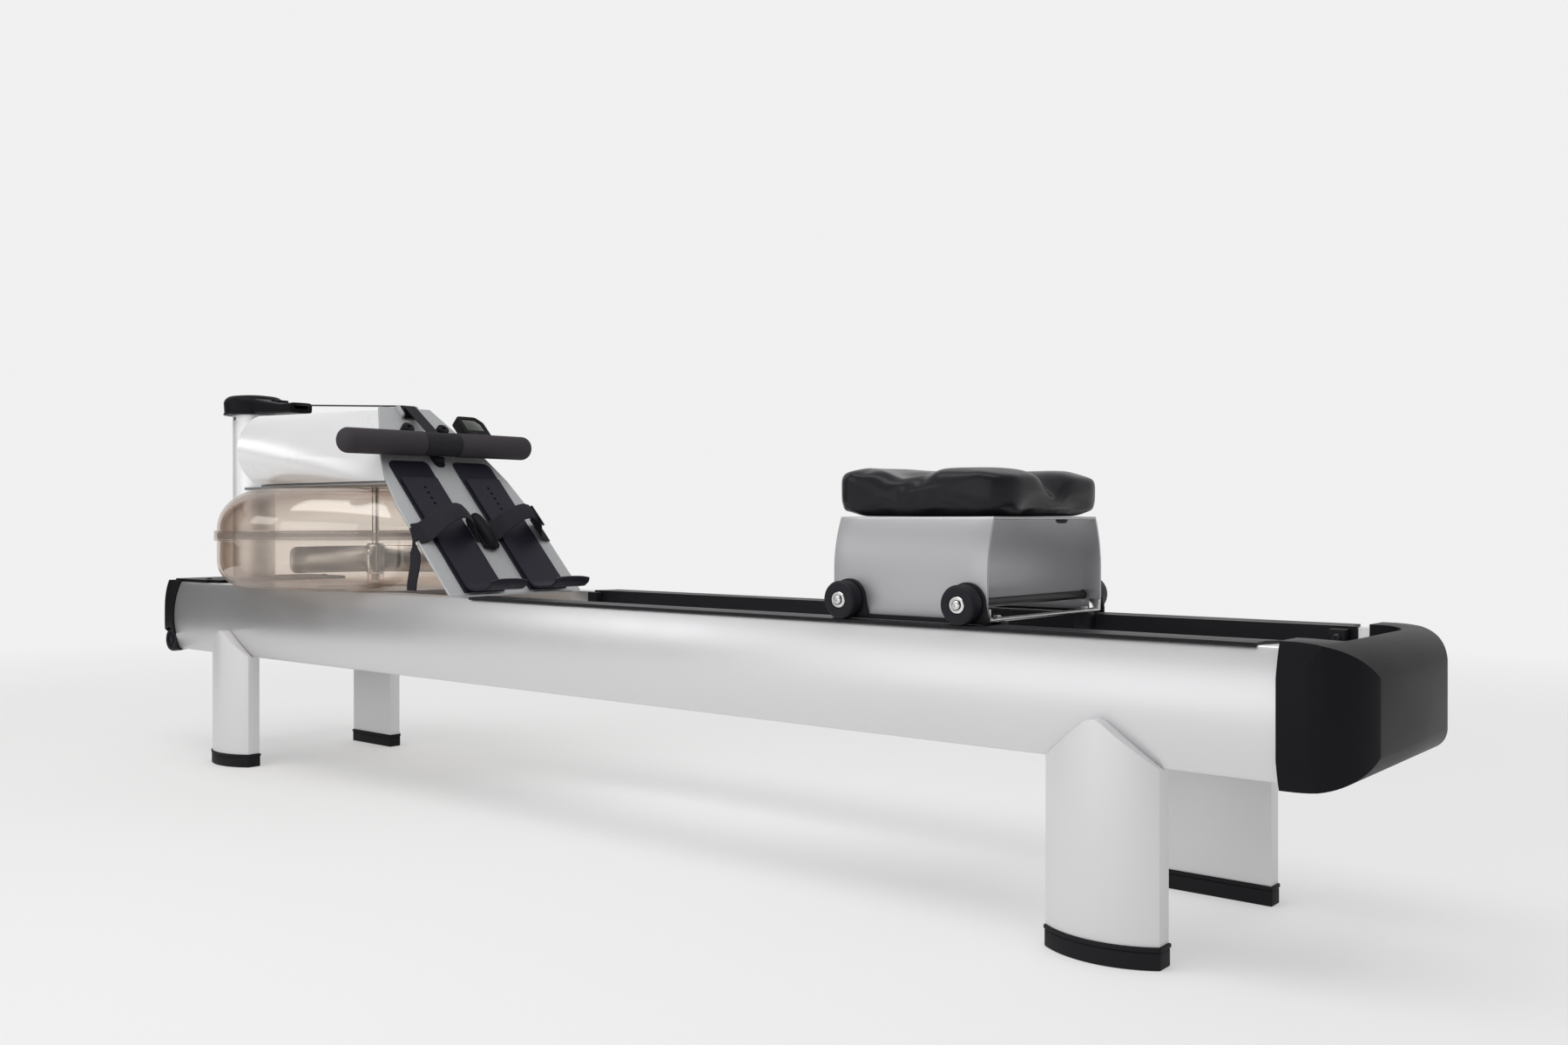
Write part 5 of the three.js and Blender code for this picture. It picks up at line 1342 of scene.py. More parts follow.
@dataclass
class Column:
    """The front column with its pulley, and the black cap with an arm over the strap."""

    head_radius: float = 54.0
    lip: float = 3.0
    arm_tip: float = -852.0
    wall: float = 3.0
    pulley_z: float = 612.0
    pulley_edge: float = 12.5
    cap_bottom: float = 620.0

    def build(self) -> None:
        """Makes the tube, the cap, the pulley and its pin."""
        low, high = node_box("front_column")
        x = (low.x + high.x) / 2
        radius, bore = (high.x - low.x) / 2, (high.x - low.x) / 2 - self.wall
        profile = [
            (bore, low.z), (radius - 0.6, low.z), (radius, low.z + 0.6), (radius, high.z), (bore, high.z)
        ]
        tube = Bench.turned("column_tube", profile, (x, 0, 0), "Z", 96)
        slot = Bench.block("slot", (x, -14, 573), (x + 60, 14, 593))
        Bench.combine(tube, slot)
        SHOP.settle(tube, Palette.COLUMN, "frame", ["front_column"])
        centre = (x, 0, self.pulley_z)
        pin = [(0, -39), (3.4, -39), (4, -38), (4, 38), (3.4, 39), (0, 39)]
        SHOP.settle(Bench.turned("pulley_pin", pin, centre, "Y", 24), Palette.BRIGHT, "frame")
        self.cap(x)
        edge = self.pulley_edge
        groove = [
            (31, -edge), (31, 1.2 - edge), (28, 2.2 - edge), (28, edge - 2.2), (31, edge - 1.2), (31, edge)
        ]
        pulley = [(4.4, -edge), *groove, (24, edge), (22, edge - 3), (10, edge - 3), (9, edge), (4.4, edge)]
        SHOP.settle(
            Bench.turned("pulley", pulley, centre, "Y", 56), Palette.TRACK, "cap_pulley", ["cap_pulley"]
        )

    def cap(self, x: float) -> None:
        """The domed head and the tapered arm, with two ribs on the arm."""
        bottom, top = self.cap_bottom, node_box("column_cap")[1].z
        r = self.head_radius
        dome = [(r - 16 + 16 * math.cos(t), top - 19 + 16 * math.sin(t)) for t in quarter(10)]
        crown = [(r * (1 - k / 8) * 0.7, top - 3 + 3 * (1 - (1 - k / 8) ** 2)) for k in range(9)]
        lip = bottom + self.lip
        profile = [(36, bottom), (r, bottom), (r, lip), (r - 1.4, lip + 1.2), *dome[1:], *crown]
        profile += [(0, top - 5), (36, top - 9)]
        head = Bench.turned("cap_head", profile, (x, 0, 0), "Z", 72)

        def arm(u: float, v: float) -> Vector:
            """The arm's skin at u from head to tip and v round its section."""
            px = x + 30 + (self.arm_tip - x - 30) * u
            half = 30 - 8 * u
            low_z = bottom - 3 * u
            high_z = (top - 5) + (636 - top + 5) * min(1.0, u * 1.35) ** 0.8
            angle = 2 * math.pi * v
            cosine, sine = math.cos(angle), math.sin(angle)
            across = half * math.copysign(abs(cosine) ** 0.3, cosine)
            up = math.copysign(abs(sine) ** 0.4, sine)
            return Vector((px, across, (low_z + high_z) / 2 + (high_z - low_z) / 2 * up)) * MM

        sleeve = Bench.sheet("cap_arm", (30, 48), arm)
        Bench.tidy(sleeve, 2e-5)
        Bench.edit(sleeve, False)
        bpy.ops.mesh.select_non_manifold()
        bpy.ops.mesh.fill_holes(sides=0)
        Bench.done()
        Bench.tidy(sleeve)
        slot = Bench.block("slot", (x + 60, -13, bottom + 5), (self.arm_tip + 5, 13, 632))
        Bench.combine(sleeve, slot)
        SHOP.settle(Bench.join([head, sleeve], "cap_and_arm"), Palette.BUMPER, "frame", ["column_cap"], 45)
        for k, offset in enumerate((78.0, 96.0)):
            rib = Bench.block(
                f"arm_rib_{k}", (x + offset, -11, 640 - 2 * k), (x + offset + 9, 11, 646 - 2 * k)
            )
            SHOP.settle(Bench.soften(rib, 1.6, 3), Palette.BUMPER, "frame")


# ---- the footboard ---------------------------------------------------------------------------------
@dataclass
class Footboard:
    """The inclined board with its pads, heel plates, straps, roller and handle rest."""

    pad_inner: float = 24.0
    pad_outer: float = 99.0
    pad_top: float = 287.0
    heel_inner: float = 28.0
    heel_outer: float = 95.0
    heel_top: float = 244.0
    heel_base: float = 2.6
    heel_thick: float = 3.2
    strap_s: float = 125.0
    strap_width: float = 40.0
    strap_thick: float = 2.2
    roller_s: float = 407.7

    def build(self) -> None:
        """Makes every piece of the board."""
        self.plate()
        self.roller()
        self.pads()
        self.heels()
        self.straps()
        self.rest()

    def plate(self) -> None:
        """The board and the lugs of the roller."""
        edge = [(-1.8, BOARD.half_width(0))] + [(s, BOARD.half_width(s)) for s in (170.0, 190.0)]
        edge += [(190 + 230 * k / 16, BOARD.half_width(190 + 230 * k / 16)) for k in range(1, 17)]
        right = [(w, s) for s, w in edge]
        board = Bench.prism("board", right + mirrored_outline(right), Plane.ALONG_N, -BOARD.thick, 0)
        notch = Bench.prism(
            "notch", [(-14.5, 391), (14.5, 391), (14.5, 440), (-14.5, 440)], Plane.ALONG_N, -20, 20
        )
        Bench.combine(board, notch)
        Bench.soften(board, 1.0, 3, 30)
        parts = [board]
        lug_outline = rounded([(393.7, -4), (420, -4, 4), (420, 8, 5), (393.7, 8, 5)], 4)
        lug = Bench.prism("lug", [BOARD.point(s, n) for s, n in lug_outline], Plane.ALONG_Y, 14.6, 19.5)
        Bench.soften(lug, 0.7, 2)
        parts += [lug, Bench.across(lug, "lug_left")]
        SHOP.settle(Bench.join(parts, "footboard_plate"), Palette.BOARD, "frame", ["footboard"])

    def roller(self) -> None:
        """The roller that the strap turns over."""
        x, z = BOARD.point(self.roller_s, 0)
        half = [(0, -19), (3, -19), (3, -13), (10, -13), (10, -11.5), (9.2, -10.5)]
        profile = half + [(r, -y) for r, y in reversed(half)]
        roller = Bench.turned("strap_roller", profile, (x, 0, z), "Y", 40)
        SHOP.settle(roller, Palette.DARK, "guide_roller", ["guide_roller"])

    def pads(self) -> None:
        """Two rubber mats with rounded corners."""
        inner, outer, top = self.pad_inner, self.pad_outer, self.pad_top
        outline = rounded([(inner, 3), (outer, 3), (outer, top, 13), (inner, top, 9)], 6)
        pad = Bench.soften(Bench.prism("mat_right", outline, Plane.ALONG_N, 0.3, 2.3), 0.6, 2)
        SHOP.pair(pad, Palette.PAD, "frame", ["right_foot_pad"])

    def heels(self) -> None:
        """The adjustable heel plates: a flat tongue that turns up into a cup."""
        lip = [(30, 0), (12, 0.4), (2, 4), (-7, 12), (-17, 23), (-26, 34), (-28, 44), (-25, 50)]
        line = [(self.heel_top, 0), (190, 0), (140, 0), (80, 0), *lip]
        lengths = [0.0]
        for (s0, n0), (s1, n1) in zip(line, line[1:]):
            lengths.append(lengths[-1] + math.hypot(s1 - s0, n1 - n0))

        def along(u: float) -> Point2:
            """The place on the plate's line at a share of its length."""
            reach = u * lengths[-1]
            return tuple(along_line(list(zip(lengths, axis)), reach) for axis in zip(*line))

        def skin(u: float, v: float) -> Vector:
            """The plate at u down its length and v across it."""
            s, n = along(u)
            cup = max(0.0, (u - 0.86) / 0.14)
            rim = abs(v - 0.5) * 2
            s += 5.0 * cup * (1 - rim**3) * 0.8
            y = self.heel_inner + (self.heel_outer - self.heel_inner) * v
            return Plane.ALONG_N.point(y, s, n + self.heel_base + self.heel_thick * 0.5 + 1.2)

        plate = Bench.sheet("heel_right", (90, 20), skin)
        Bench.thicken(plate, self.heel_thick, 0.0)
        middle = (self.heel_inner + self.heel_outer) / 2
        for k in range(5):
            ring = circle(middle, self.heel_top - 22 - 12 * k, 2.5, 14)
            Bench.combine(plate, Bench.prism("hole", ring, Plane.ALONG_N, -3, 15))
        Bench.soften(plate, 0.8, 2, 50)
        SHOP.pair(plate, Palette.HEEL, "right_heel_plate", ["right_heel_plate"], 50)

    def strap_line(self, y: float) -> float:
        """How far the strap stands off the board at a distance from the middle."""
        near = ((7, 0.6), (19, 0.8), (25, 8), (33, 23), (44, 36), (56, 44), (66, 46.5))
        far = ((78, 43), (90, 34), (99, 19), (105, 7), (112, 1.4), (124, 0.7))
        return along_line(near + far, y, 0.35)

    def straps(self) -> None:
        """The two foot straps, their buckles and the spare end that hangs at the side."""
        half = self.strap_width / 2
        rise = self.strap_thick / 2 + 0.4

        def arch(u: float, v: float) -> Vector:
            """The strap at u from the middle to the board's edge and v across its width."""
            y = 6 + 119 * u
            edge = (v - 0.5) * 2
            pinch = 1 - 0.22 * math.sin(math.pi * min(1.0, u * 1.15)) ** 2
            s = self.strap_s + half * edge * pinch + 4 * math.sin(math.pi * u)
            cup = 2.6 * (1 - edge * edge) * math.sin(math.pi * u)
            return Plane.ALONG_N.point(y, s, self.strap_line(y) + rise + cup)

        cloth = (0.17, self.strap_width * MM)
        strap = Bench.sheet("strap_right", (64, 14), arch, cloth)
        Bench.thicken(strap, self.strap_thick, 0.0)
        Bench.soften(strap, 0.5, 2, 50)
        other = Bench.across(strap, "strap_left")
        SHOP.settle(strap, Palette.WEBBING, "frame", ["right_foot_strap"], 60)
        x, z = BOARD.point(self.strap_s, 0)
        low = node_box("left_foot_strap")[0]
        drop = low.z + 1.0
        edge_y = BOARD.half_width(0) + 1.8

        def spare(u: float, v: float) -> Vector:
            """The spare end at u from the board's face to its tip and v across it."""
            across = (v - 0.5) * 26 * (1 - 0.12 * u)
            if u < 0.25:
                t = u / 0.25
                y = -(edge_y - 8) - 8 * math.sin(math.pi / 2 * t)
                top = 2.6 * math.cos(math.pi / 2 * t)
                px, pz = BOARD.point(self.strap_s + across, top)
                return Vector((px, y, pz)) * MM
            t = (u - 0.25) / 0.75
            sway = 5.0 * math.sin(math.pi * t * 1.3)
            pz = z - (z - drop) * t
            upright = min(1.0, t * 3)
            bx, bz = BOARD.point(self.strap_s + across, 0)
            px = bx + (x + across + sway - bx) * upright
            pz = (bz - (z - drop) * t) + (pz - bz + (z - drop) * t) * upright
            return Vector((px, -edge_y - 0.6 * math.sin(3 * math.pi * t), pz)) * MM

        tail = Bench.sheet("spare_end", (56, 10), spare, (0.14, 0.026))
        Bench.thicken(tail, 1.8, 0.0)
        Bench.soften(tail, 0.4, 2, 50)
        joined = Bench.join([other, tail], "strap_left_with_spare_end")
        SHOP.settle(joined, Palette.WEBBING, "frame", ["left_foot_strap"], 60)
        self.buckles()

    def buckles(self) -> None:
        """The long centre buckle and the small ladder buckle on the right strap."""
        s0 = self.strap_s

        def pod(u: float, v: float) -> Vector:
            """The buckle's domed cover, a long ellipsoid cut flat below."""
            along, turn = math.pi * u, math.pi * v
            radius = math.sin(along) ** 0.75
            y = -11.5 * math.cos(turn) * radius
            n = 4.0 + 14.0 * math.sin(turn) * radius
            return Plane.ALONG_N.point(y, s0 + 38 * math.cos(along), n)

        cover = Bench.sheet("buckle_cover", (36, 20), pod)
        Bench.tidy(cover)
        Bench.thicken(cover, 1.6, 0.0)
        base = rounded_box((-15, s0 - 36), (15, s0 + 36), 8, 6)
        plinth = Bench.soften(Bench.prism("plinth", base, Plane.ALONG_N, 3.2, 6.2), 0.8, 3)
        SHOP.settle(Bench.join([cover, plinth], "centre_buckle"), Palette.BUMPER, "frame")
        y, reach = 87.0, 12.0
        n = self.strap_line(y) + 3.6
        edge = rounded_box((y - reach, s0 - 16), (y + reach, s0 + 17), 4, 5)
        ladder = Bench.prism("ladder", edge, Plane.ALONG_N, n, n + 3.6)
        for offset in (-6.2, 1.0):
            window = rounded_box((y + offset, s0 - 12), (y + offset + 5, s0 + 13), 2, 4)
            Bench.combine(ladder, Bench.prism("window", window, Plane.ALONG_N, n - 5, n + 15))
        Bench.soften(ladder, 0.8, 2)
        up_board = Vector((-math.cos(BOARD.angle), 0, math.sin(BOARD.angle)))
        tilt = Matrix.Rotation(math.radians(40), 4, up_board)
        pivot = Plane.ALONG_N.point(y, s0, n)
        ladder.data.transform(Matrix.Translation(pivot) @ tilt @ Matrix.Translation(-pivot))
        SHOP.settle(ladder, Palette.BUMPER, "frame")

    def rest(self) -> None:
        """The handle rest: a yoke with two bolts and a cradle under the handle."""
        arms = [(12, 330, 6), (36, 338, 11), (36, 364, 11), (18, 366, 6), (15, 352, 2)]
        stem = [(9, 276, 8), (11, 300, 5)]
        half = stem + arms
        outline = rounded([*half, *[(-p[0], *p[1:]) for p in reversed(half)]], 5)
        yoke = Bench.soften(Bench.prism("yoke", outline, Plane.ALONG_N, 0.3, 2.4), 0.6, 2)
        parts = [yoke]
        for y in (-34, 34):
            boss = Bench.prism("boss", circle(y, 352, 10.5, 36), Plane.ALONG_N, 1, 19)
            Bench.soften(boss, 2.6, 4)
            socket = Bench.prism("socket", circle(y, 352, 3.6, 6), Plane.ALONG_N, 16.0, 24)
            parts.append(Bench.combine(boss, socket))
        hx, hz, reach = -435.0, 545.0, 20.3
        turns = [math.pi + t for t in quarter(12)]
        trough = [(hx + reach * math.cos(t), hz + reach * math.sin(t)) for t in turns]
        face_top = BOARD.x - (hz - BOARD.z) / math.tan(BOARD.angle) + 1
        foot = hz - reach - 9
        face_foot = BOARD.x - (foot - BOARD.z) / math.tan(BOARD.angle) + 1
        cradle_outline = [
            (face_top, hz), *trough, (hx + 2, hz - reach - 3), (hx + 1, foot), (face_foot, foot)
        ]
        cradle = Bench.prism("cradle", cradle_outline, Plane.ALONG_Y, -10, 10)
        parts.append(Bench.soften(cradle, 0.8, 2, 50))
        SHOP.settle(Bench.join(parts, "handle_yoke"), Palette.BUMPER, "frame", ["handle_rest"])


# ---- the handle and its strap ----------------------------------------------------------------------
@dataclass
class Handle:
    """The bar with foam grips and the strap sewn round its middle."""

    x: float = -435.0
    z: float = 545.0
    grip_radius: float = 20.0
    wrap_half: float = 34.0
    strap_width: float = 22.0
    strap_thick: float = 1.6
    roller_s: float = 407.7
    roller_radius: float = 10.0
    pulley_z: float = 612.0
    pulley_radius: float = 28.0
    drum_z: float = 575.0
    drum_radius: float = 34.0

    def build(self) -> None:
        """Makes the bar, the grips, the wrap and both runs of strap."""
        length = node_box("handle_bar")[1].y
        bar = [(0, -length), (11, -length), (12, 1 - length), (12, length - 1), (11, length), (0, length)]
        rod = Bench.turned("bar", bar, (self.x, 0, self.z), "Y", 40)
        SHOP.settle(rod, Palette.BRIGHT, "handle", ["handle_bar"])
        end = node_box("right_grip")[1].y
        start, r, nose = self.wrap_half + 0.3, self.grip_radius, 15.0
        rim = [(r - nose + nose * math.cos(t), end - nose + nose * math.sin(t)) for t in quarter(12)]
        profile = [
            (12.3, start), (r - 1, start), (r, start + 1.2), *rim, (0, end), (0, end - 7), (12.3, end - 7)
        ]
        grip = Bench.turned("foam_right", profile, (self.x, 0, self.z), "Y", 64)
        SHOP.pair(grip, Palette.FOAM, "handle", ["right_grip"], 50)
        self.wrap()
        self.pull_strap()
        self.drive_strap()

    def wrap(self) -> None:
        """The webbing wrapped round the bar's middle, with two stitched hems."""
        half = self.wrap_half

        def skin(u: float, v: float) -> Vector:
            """The wrap at u round the bar and v along it."""
            angle = -2 * math.pi * u
            y = -half + 2 * half * v
            edge = min(abs(y + half), abs(y - half))
            radius = 19.2 - 0.5 * math.exp(-edge / 1.5) - 0.35 * math.exp(-((abs(y) - 12) ** 2) / 1.6)
            return Vector((self.x + radius * math.cos(angle), y, self.z + radius * math.sin(angle))) * MM

        sleeve = Bench.sheet("handle_wrap", (72, 60), skin, (0.12, 0.068))
        Bench.tidy(sleeve)
        Bench.thicken(sleeve, 5.0, -1.0)
        SHOP.settle(sleeve, Palette.WEBBING, "handle", ["handle_strap"], 60)

    def pull_strap(self) -> None:
        """The run from the roller to the handle, a still, straight sheet; on the machine it lengthens as the
        handle is pulled.
        """
        rx, rz = BOARD.point(self.roller_s, 0)
        start = Vector((rx, 0, rz)) + Vector((math.sin(0.74), 0, math.cos(0.74))) * 11.3
        end = Vector((self.x - 12, 0, self.z + 15.6))
        width = self.strap_width

        def skin(u: float, v: float) -> Vector:
            """The strap at u from roller to handle and v across it."""
            spot = start.lerp(end, u)
            return Vector((spot.x, (v - 0.5) * width, spot.z)) * MM

        strap = Bench.sheet("pull_strap", (60, 10), skin, ((end - start).length * MM, width * MM))
        Bench.thicken(strap, self.strap_thick, 0.0)
        SHOP.settle(strap, Palette.WEBBING, "", smooth=60)
        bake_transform(strap)

    def drive_strap(self) -> None:
        """The run over the column's pulley and down to the drum."""
        rx, rz = BOARD.point(self.roller_s, 0)
        px, pz = middle_x("cap_pulley"), self.pulley_z
        lift = self.strap_thick / 2 + 0.3
        big, small = self.pulley_radius + lift, self.roller_radius + lift
        span = math.hypot(rx - px, rz - pz)
        tangent = math.atan2(rz - pz, rx - px) + math.acos((big - small) / span)

        def around(x: float, z: float, radius: float, angle: float) -> Vector:
            """The point of a turn about (x, z) at an angle."""
            return Vector((x + radius * math.cos(angle), 0, z + radius * math.sin(angle)))

        leave = math.pi / 2 - BOARD.angle + 0.08
        route = [(around(rx, rz, small, leave + (tangent - leave) * k / 9), 0.0) for k in range(10)]
        a, b = around(rx, rz, small, tangent), around(px, pz, big, tangent)
        route += [(a.lerp(b, k / 16), 0.0) for k in range(1, 16)]
        turn = 1.5 * math.pi - tangent
        route += [(around(px, pz, big, tangent + turn * k / 24), 0.0) for k in range(25)]
        drum_x, drum_z, core = middle_x("strap_drum"), self.drum_z, self.drum_radius + lift
        start = Vector((px + 60, 0, pz - big))
        lead = math.asin(core / (drum_x - start.x))
        end = Vector((drum_x - core * math.sin(lead), core * math.cos(lead), drum_z))
        route += [(start.lerp(end, k / 40), math.pi / 2 * k / 40) for k in range(41)]
        half = self.strap_width / 2

        def skin(u: float, v: float) -> Vector:
            """The strap at u along its route and v across it."""
            spot, twist = route[min(round(u * (len(route) - 1)), len(route) - 1)]
            across = Vector((0, math.cos(twist), math.sin(twist)))
            return (spot + across * ((v - 0.5) * 2 * half)) * MM

        strap = Bench.sheet("upper_and_lower_strap", (len(route) - 1, 10), skin, (1.0, self.strap_width * MM))
        Bench.thicken(strap, self.strap_thick, 0.0)
        SHOP.settle(strap, Palette.WEBBING, "frame", ["drive_strap"], 60)


# ---- the monitor -----------------------------------------------------------------------------------
@dataclass
class Monitor:
    """The small display beside the footboard's top."""

    y: float = 88.5
    width: float = 52.0
    s: float = 340.0
    height: float = 60.0
    back: float = -12.0
    face: float = 8.0

    def build(self) -> None:
        """Makes the case, the window and the two buttons."""
        y0, y1, s0, s1 = self.y, self.y + self.width, self.s, self.s + self.height
        outline = rounded([(y0, s0, 7), (y1, s0, 7), (y1, s1 - 14, 9), (y1 - 12, s1, 9), (y0, s1, 7)], 6)
        case = Bench.soften(Bench.prism("case", outline, Plane.ALONG_N, self.back, self.face), 2.2, 4)
        w0, w1, v0, v1 = y0 + 7, y1 - 7, s0 + 24, s1 - 7
        window = rounded([(w0, v0, 2), (w1, v0, 2), (w1, v1 - 8, 2), (w1 - 8, v1, 2), (w0, v1, 2)], 4)
        Bench.combine(case, Bench.prism("window", window, Plane.ALONG_N, self.face - 3, self.face + 5))
        spots = (y0 + 15, y1 - 15)
        for y in spots:
            well = circle(y, s0 + 12, 5.4, 32)
            Bench.combine(case, Bench.prism("well", well, Plane.ALONG_N, self.face - 6, self.face + 5))
        strip = rounded([(y0 - 34, s0 + 4, 4), (y0 + 5, s0 + 4), (y0 + 5, s0 + 20), (y0 - 34, s0 + 20, 4)], 4)
        tab = Bench.soften(Bench.prism("tab", strip, Plane.ALONG_N, 0.3, 2.8), 0.5, 2)
        SHOP.settle(Bench.join([case, tab], "display_case"), Palette.BUMPER, "frame", ["monitor_case"])
        middle_y, middle_s, gap = (w0 + w1) / 2, (v0 + v1) / 2, 0.3
        inner = [
            (a + (gap if a < middle_y else -gap), b + (gap if b < middle_s else -gap)) for a, b in window
        ]
        pane = Bench.prism("display_pane", inner, Plane.ALONG_N, self.face - 2.7, self.face - 1)
        SHOP.settle(Bench.soften(pane, 0.3, 2), Palette.DISPLAY, "frame", ["monitor_screen"])
        for k, y in enumerate(spots, 1):
            disc = circle(y, s0 + 12, 5, 32)
            button = Bench.prism(f"button_{k}", disc, Plane.ALONG_N, self.face - 4.2, self.face + 1.8)
            Bench.soften(button, 1.0, 3)
            SHOP.settle(button, Palette.PAD, f"monitor_button_{k}", [f"monitor_button_{k}"])


# ---- the seat --------------------------------------------------------------------------------------
@dataclass
class Seat:
    """The carriage: an arch of sheet on four wheels, with a sculpted cushion."""

    half_width: float = 127.0
    top_half_width: float = 113.5
    sheet: float = 3.0
    guard_thick: float = 3.4
    guard_radius: float = 23.0
    bore_radius: float = 5.4
    bar_z: float = 314.5
    bar_thick: float = 3.0
    block_y: Point2 = (89.9, 103.9)
    cushion_grow: float = 1.004
    centre_x: float = field(init=False)
    wheel_x: tuple[float, float] = field(init=False)
    wheel_z: float = field(init=False)

    def __post_init__(self) -> None:
        """Takes the carriage's places from the frame."""
        low, high = node_box("seat_arch")
        self.centre_x = (low.x + high.x) / 2
        spots = [node_box(f"right_{end}_seat_wheel") for end in ("front", "rear")]
        self.wheel_x = tuple((a.x + b.x) / 2 for a, b in spots)
        self.wheel_z = (spots[0][0].z + spots[0][1].z) / 2

    def build(self) -> None:
        """Makes every piece of the carriage."""
        self.arch()
        self.axles()
        self.bars()
        self.guards()
        self.wheels()
        self.cushion()

    def arch(self) -> None:
        """The arch: one sheet bent with barrel sides."""
        low, high = node_box("seat_arch")
        side = [(self.half_width, low.z), (self.half_width, 362.0)]
        bend = arc_through(side[1], (self.half_width - 4, 398.0), (self.top_half_width, high.z), 16)
        line = [side[0], (self.half_width, 340.0), *bend]
        whole = line + mirrored_outline(line)
        count = len(whole) - 1

        def skin(u: float, v: float) -> Vector:
            """The arch at u along X and v round its section."""
            y, z = whole[round(v * count)]
            return Vector((low.x + (high.x - low.x) * u, y, z)) * MM

        arch = Bench.sheet("arch", (8, count), skin)
        Bench.tidy(arch)
        Bench.thicken(arch, self.sheet, -1.0)
        for x in self.wheel_x:
            bore = circle(x, self.wheel_z, self.bore_radius, 24)
            Bench.combine(arch, Bench.prism("bore", bore, Plane.ALONG_Y, -140, 140))
        Bench.soften(arch, 0.6, 2, 60)
        SHOP.settle(arch, Palette.COAT, "carriage", ["seat_arch"])
        profile = [(0, 0), (7, 0), (7, -2), (5, -4.4), (0, -5)]
        bolt = Bench.turned("arch_bolt", profile, (high.x - 9, 48, high.z - self.sheet), "Z", 24)
        SHOP.settle(bolt, Palette.DARK, "carriage")

    def axles(self) -> None:
        """The two dark axle rods with a bright bolt in each end."""
        for end, x in zip(("front", "rear"), self.wheel_x):
            reach = node_box(f"{end}_axle")[1].y
            profile = [(0, -reach + 1.5), (5, -reach + 1.5), (5, reach - 1.5), (0, reach - 1.5)]
            rod = Bench.turned(f"axle_{end}", profile, (x, 0, self.wheel_z), "Y", 32)
            SHOP.settle(rod, Palette.DARK, "carriage", [f"{end}_axle"])
            for side in Side:
                name = f"axle_bolt_{end}_{side.word}"
                bolt = fastener(
                    name, (x, side.value * (reach - 1.5), self.wheel_z), "Y", 4.6, 2.6, side.value
                )
                SHOP.settle(bolt, Palette.BRIGHT, "carriage")

    def bars(self) -> None:
        """The bright tie bars with upturned tabs, and the black guide blocks under them."""
        for end in ("front", "rear"):
            low, high = node_box(f"{end}_tie_bar")
            x = (low.x + high.x) / 2
            z0, thick, y1 = self.bar_z, self.bar_thick, high.y
            tab = [(y1, z0), (y1, high.z), (y1 - thick, high.z), (y1 - thick, z0 + thick)]
            section = [(-y1, z0), *tab, *[(-y, z) for y, z in reversed(tab)][:-1]]
            bar = Bench.prism(f"tie_bar_{end}", section, Plane.ALONG_X, x - 7, x + 7)
            Bench.soften(bar, 0.7, 2)
            SHOP.settle(bar, Palette.BRIGHT, "carriage", [f"{end}_tie_bar"])
            for side in Side:
                words = f"{end}_{side.word}"
                y_low, y_high = sorted(side.value * y for y in self.block_y)
                block = Bench.block(f"guide_block_{words}", (low.x, y_low, low.z), (high.x, y_high, z0 - 0.1))
                SHOP.settle(Bench.soften(block, 1.6, 3), Palette.TRACK, "carriage")
                profile = [(0, 0), (5, 0), (5, 2.2), (3.8, 3.4), (0, 3.6)]
                head = Bench.turned(f"guide_bolt_{words}", profile, (x, side.value * 97, z0 + thick), "Z", 6)
                SHOP.settle(head, Palette.BRIGHT, "carriage")

    def guards(self) -> None:
        """The black guards behind the wheels, each side's pair joined by a skirt."""
        inner, outer = self.half_width + 0.3, self.half_width + 0.3 + self.guard_thick
        floor = node_box("right_wheel_guard")[0].z
        radius = self.guard_radius
        parts = []
        for x in self.wheel_x:
            turns = [math.pi * k / 24 for k in range(25)]
            top = [(x + radius * math.cos(t), self.wheel_z + radius * math.sin(t)) for t in turns]
            heel, toe = x - radius, x + radius + 3
            outline = [(heel, floor), (toe, floor), (toe, floor + 7), *top, (heel, self.wheel_z - 2)]
            plate = Bench.prism("guard", outline, Plane.ALONG_Y, inner, outer)
            bore = circle(x, self.wheel_z, self.bore_radius, 24)
            Bench.combine(plate, Bench.prism("bore", bore, Plane.ALONG_Y, inner - 5, outer + 5))
            parts.append(Bench.soften(plate, 0.6, 2))
        skirt = Bench.block("skirt", (self.wheel_x[0], inner, floor), (self.wheel_x[1], inner + 2, floor + 5))
        guard = Bench.join([*parts, skirt], "guard_right")
        SHOP.pair(guard, Palette.TRACK, "carriage", ["right_wheel_guard"])

    def wheels(self) -> None:
        """Four wheels, each a tread on a bearing with a bright ring."""
        for end, x in zip(("front", "rear"), self.wheel_x):
            low, high = node_box(f"right_{end}_seat_wheel")
            y0, y1, r = low.y, high.y, (high.z - low.z) / 2
            tread = [(9.2, y0 + 1), (9.8, y0), (r - 1.6, y0), (r, y0 + 1.6), (r, y1 - 3), (r - 0.8, y1 - 1.4)]
            tread += [(r - 2.4, y1 - 0.4), (r - 4, y1), (11, y1), (10, y1 - 0.6), (9.2, y1 - 1.6)]
            ring = [(5.4, y0 + 1.2), (9.0, y0 + 1.2), (9.0, y1 - 0.6), (8.4, y1), (7.4, y1), (7, y1 - 1.4)]
            ring += [(6.2, y1 - 1.4), (5.4, y1 - 0.8)]
            for side in Side:
                node = f"{side.word}_{end}_seat_wheel"
                dress = (
                    ("wheel", tread, 72, Palette.WHEEL, [node]), ("bearing", ring, 56, Palette.BRIGHT, [])
                )
                for word, profile, sides, finish, nodes in dress:
                    places = [(a, b * side.value) for a, b in profile]
                    name = f"{word}_{end}_{side.word}"
                    piece = Bench.turned(name, places, (x, 0, self.wheel_z), "Y", sides)
                    SHOP.settle(piece, finish, node, nodes)

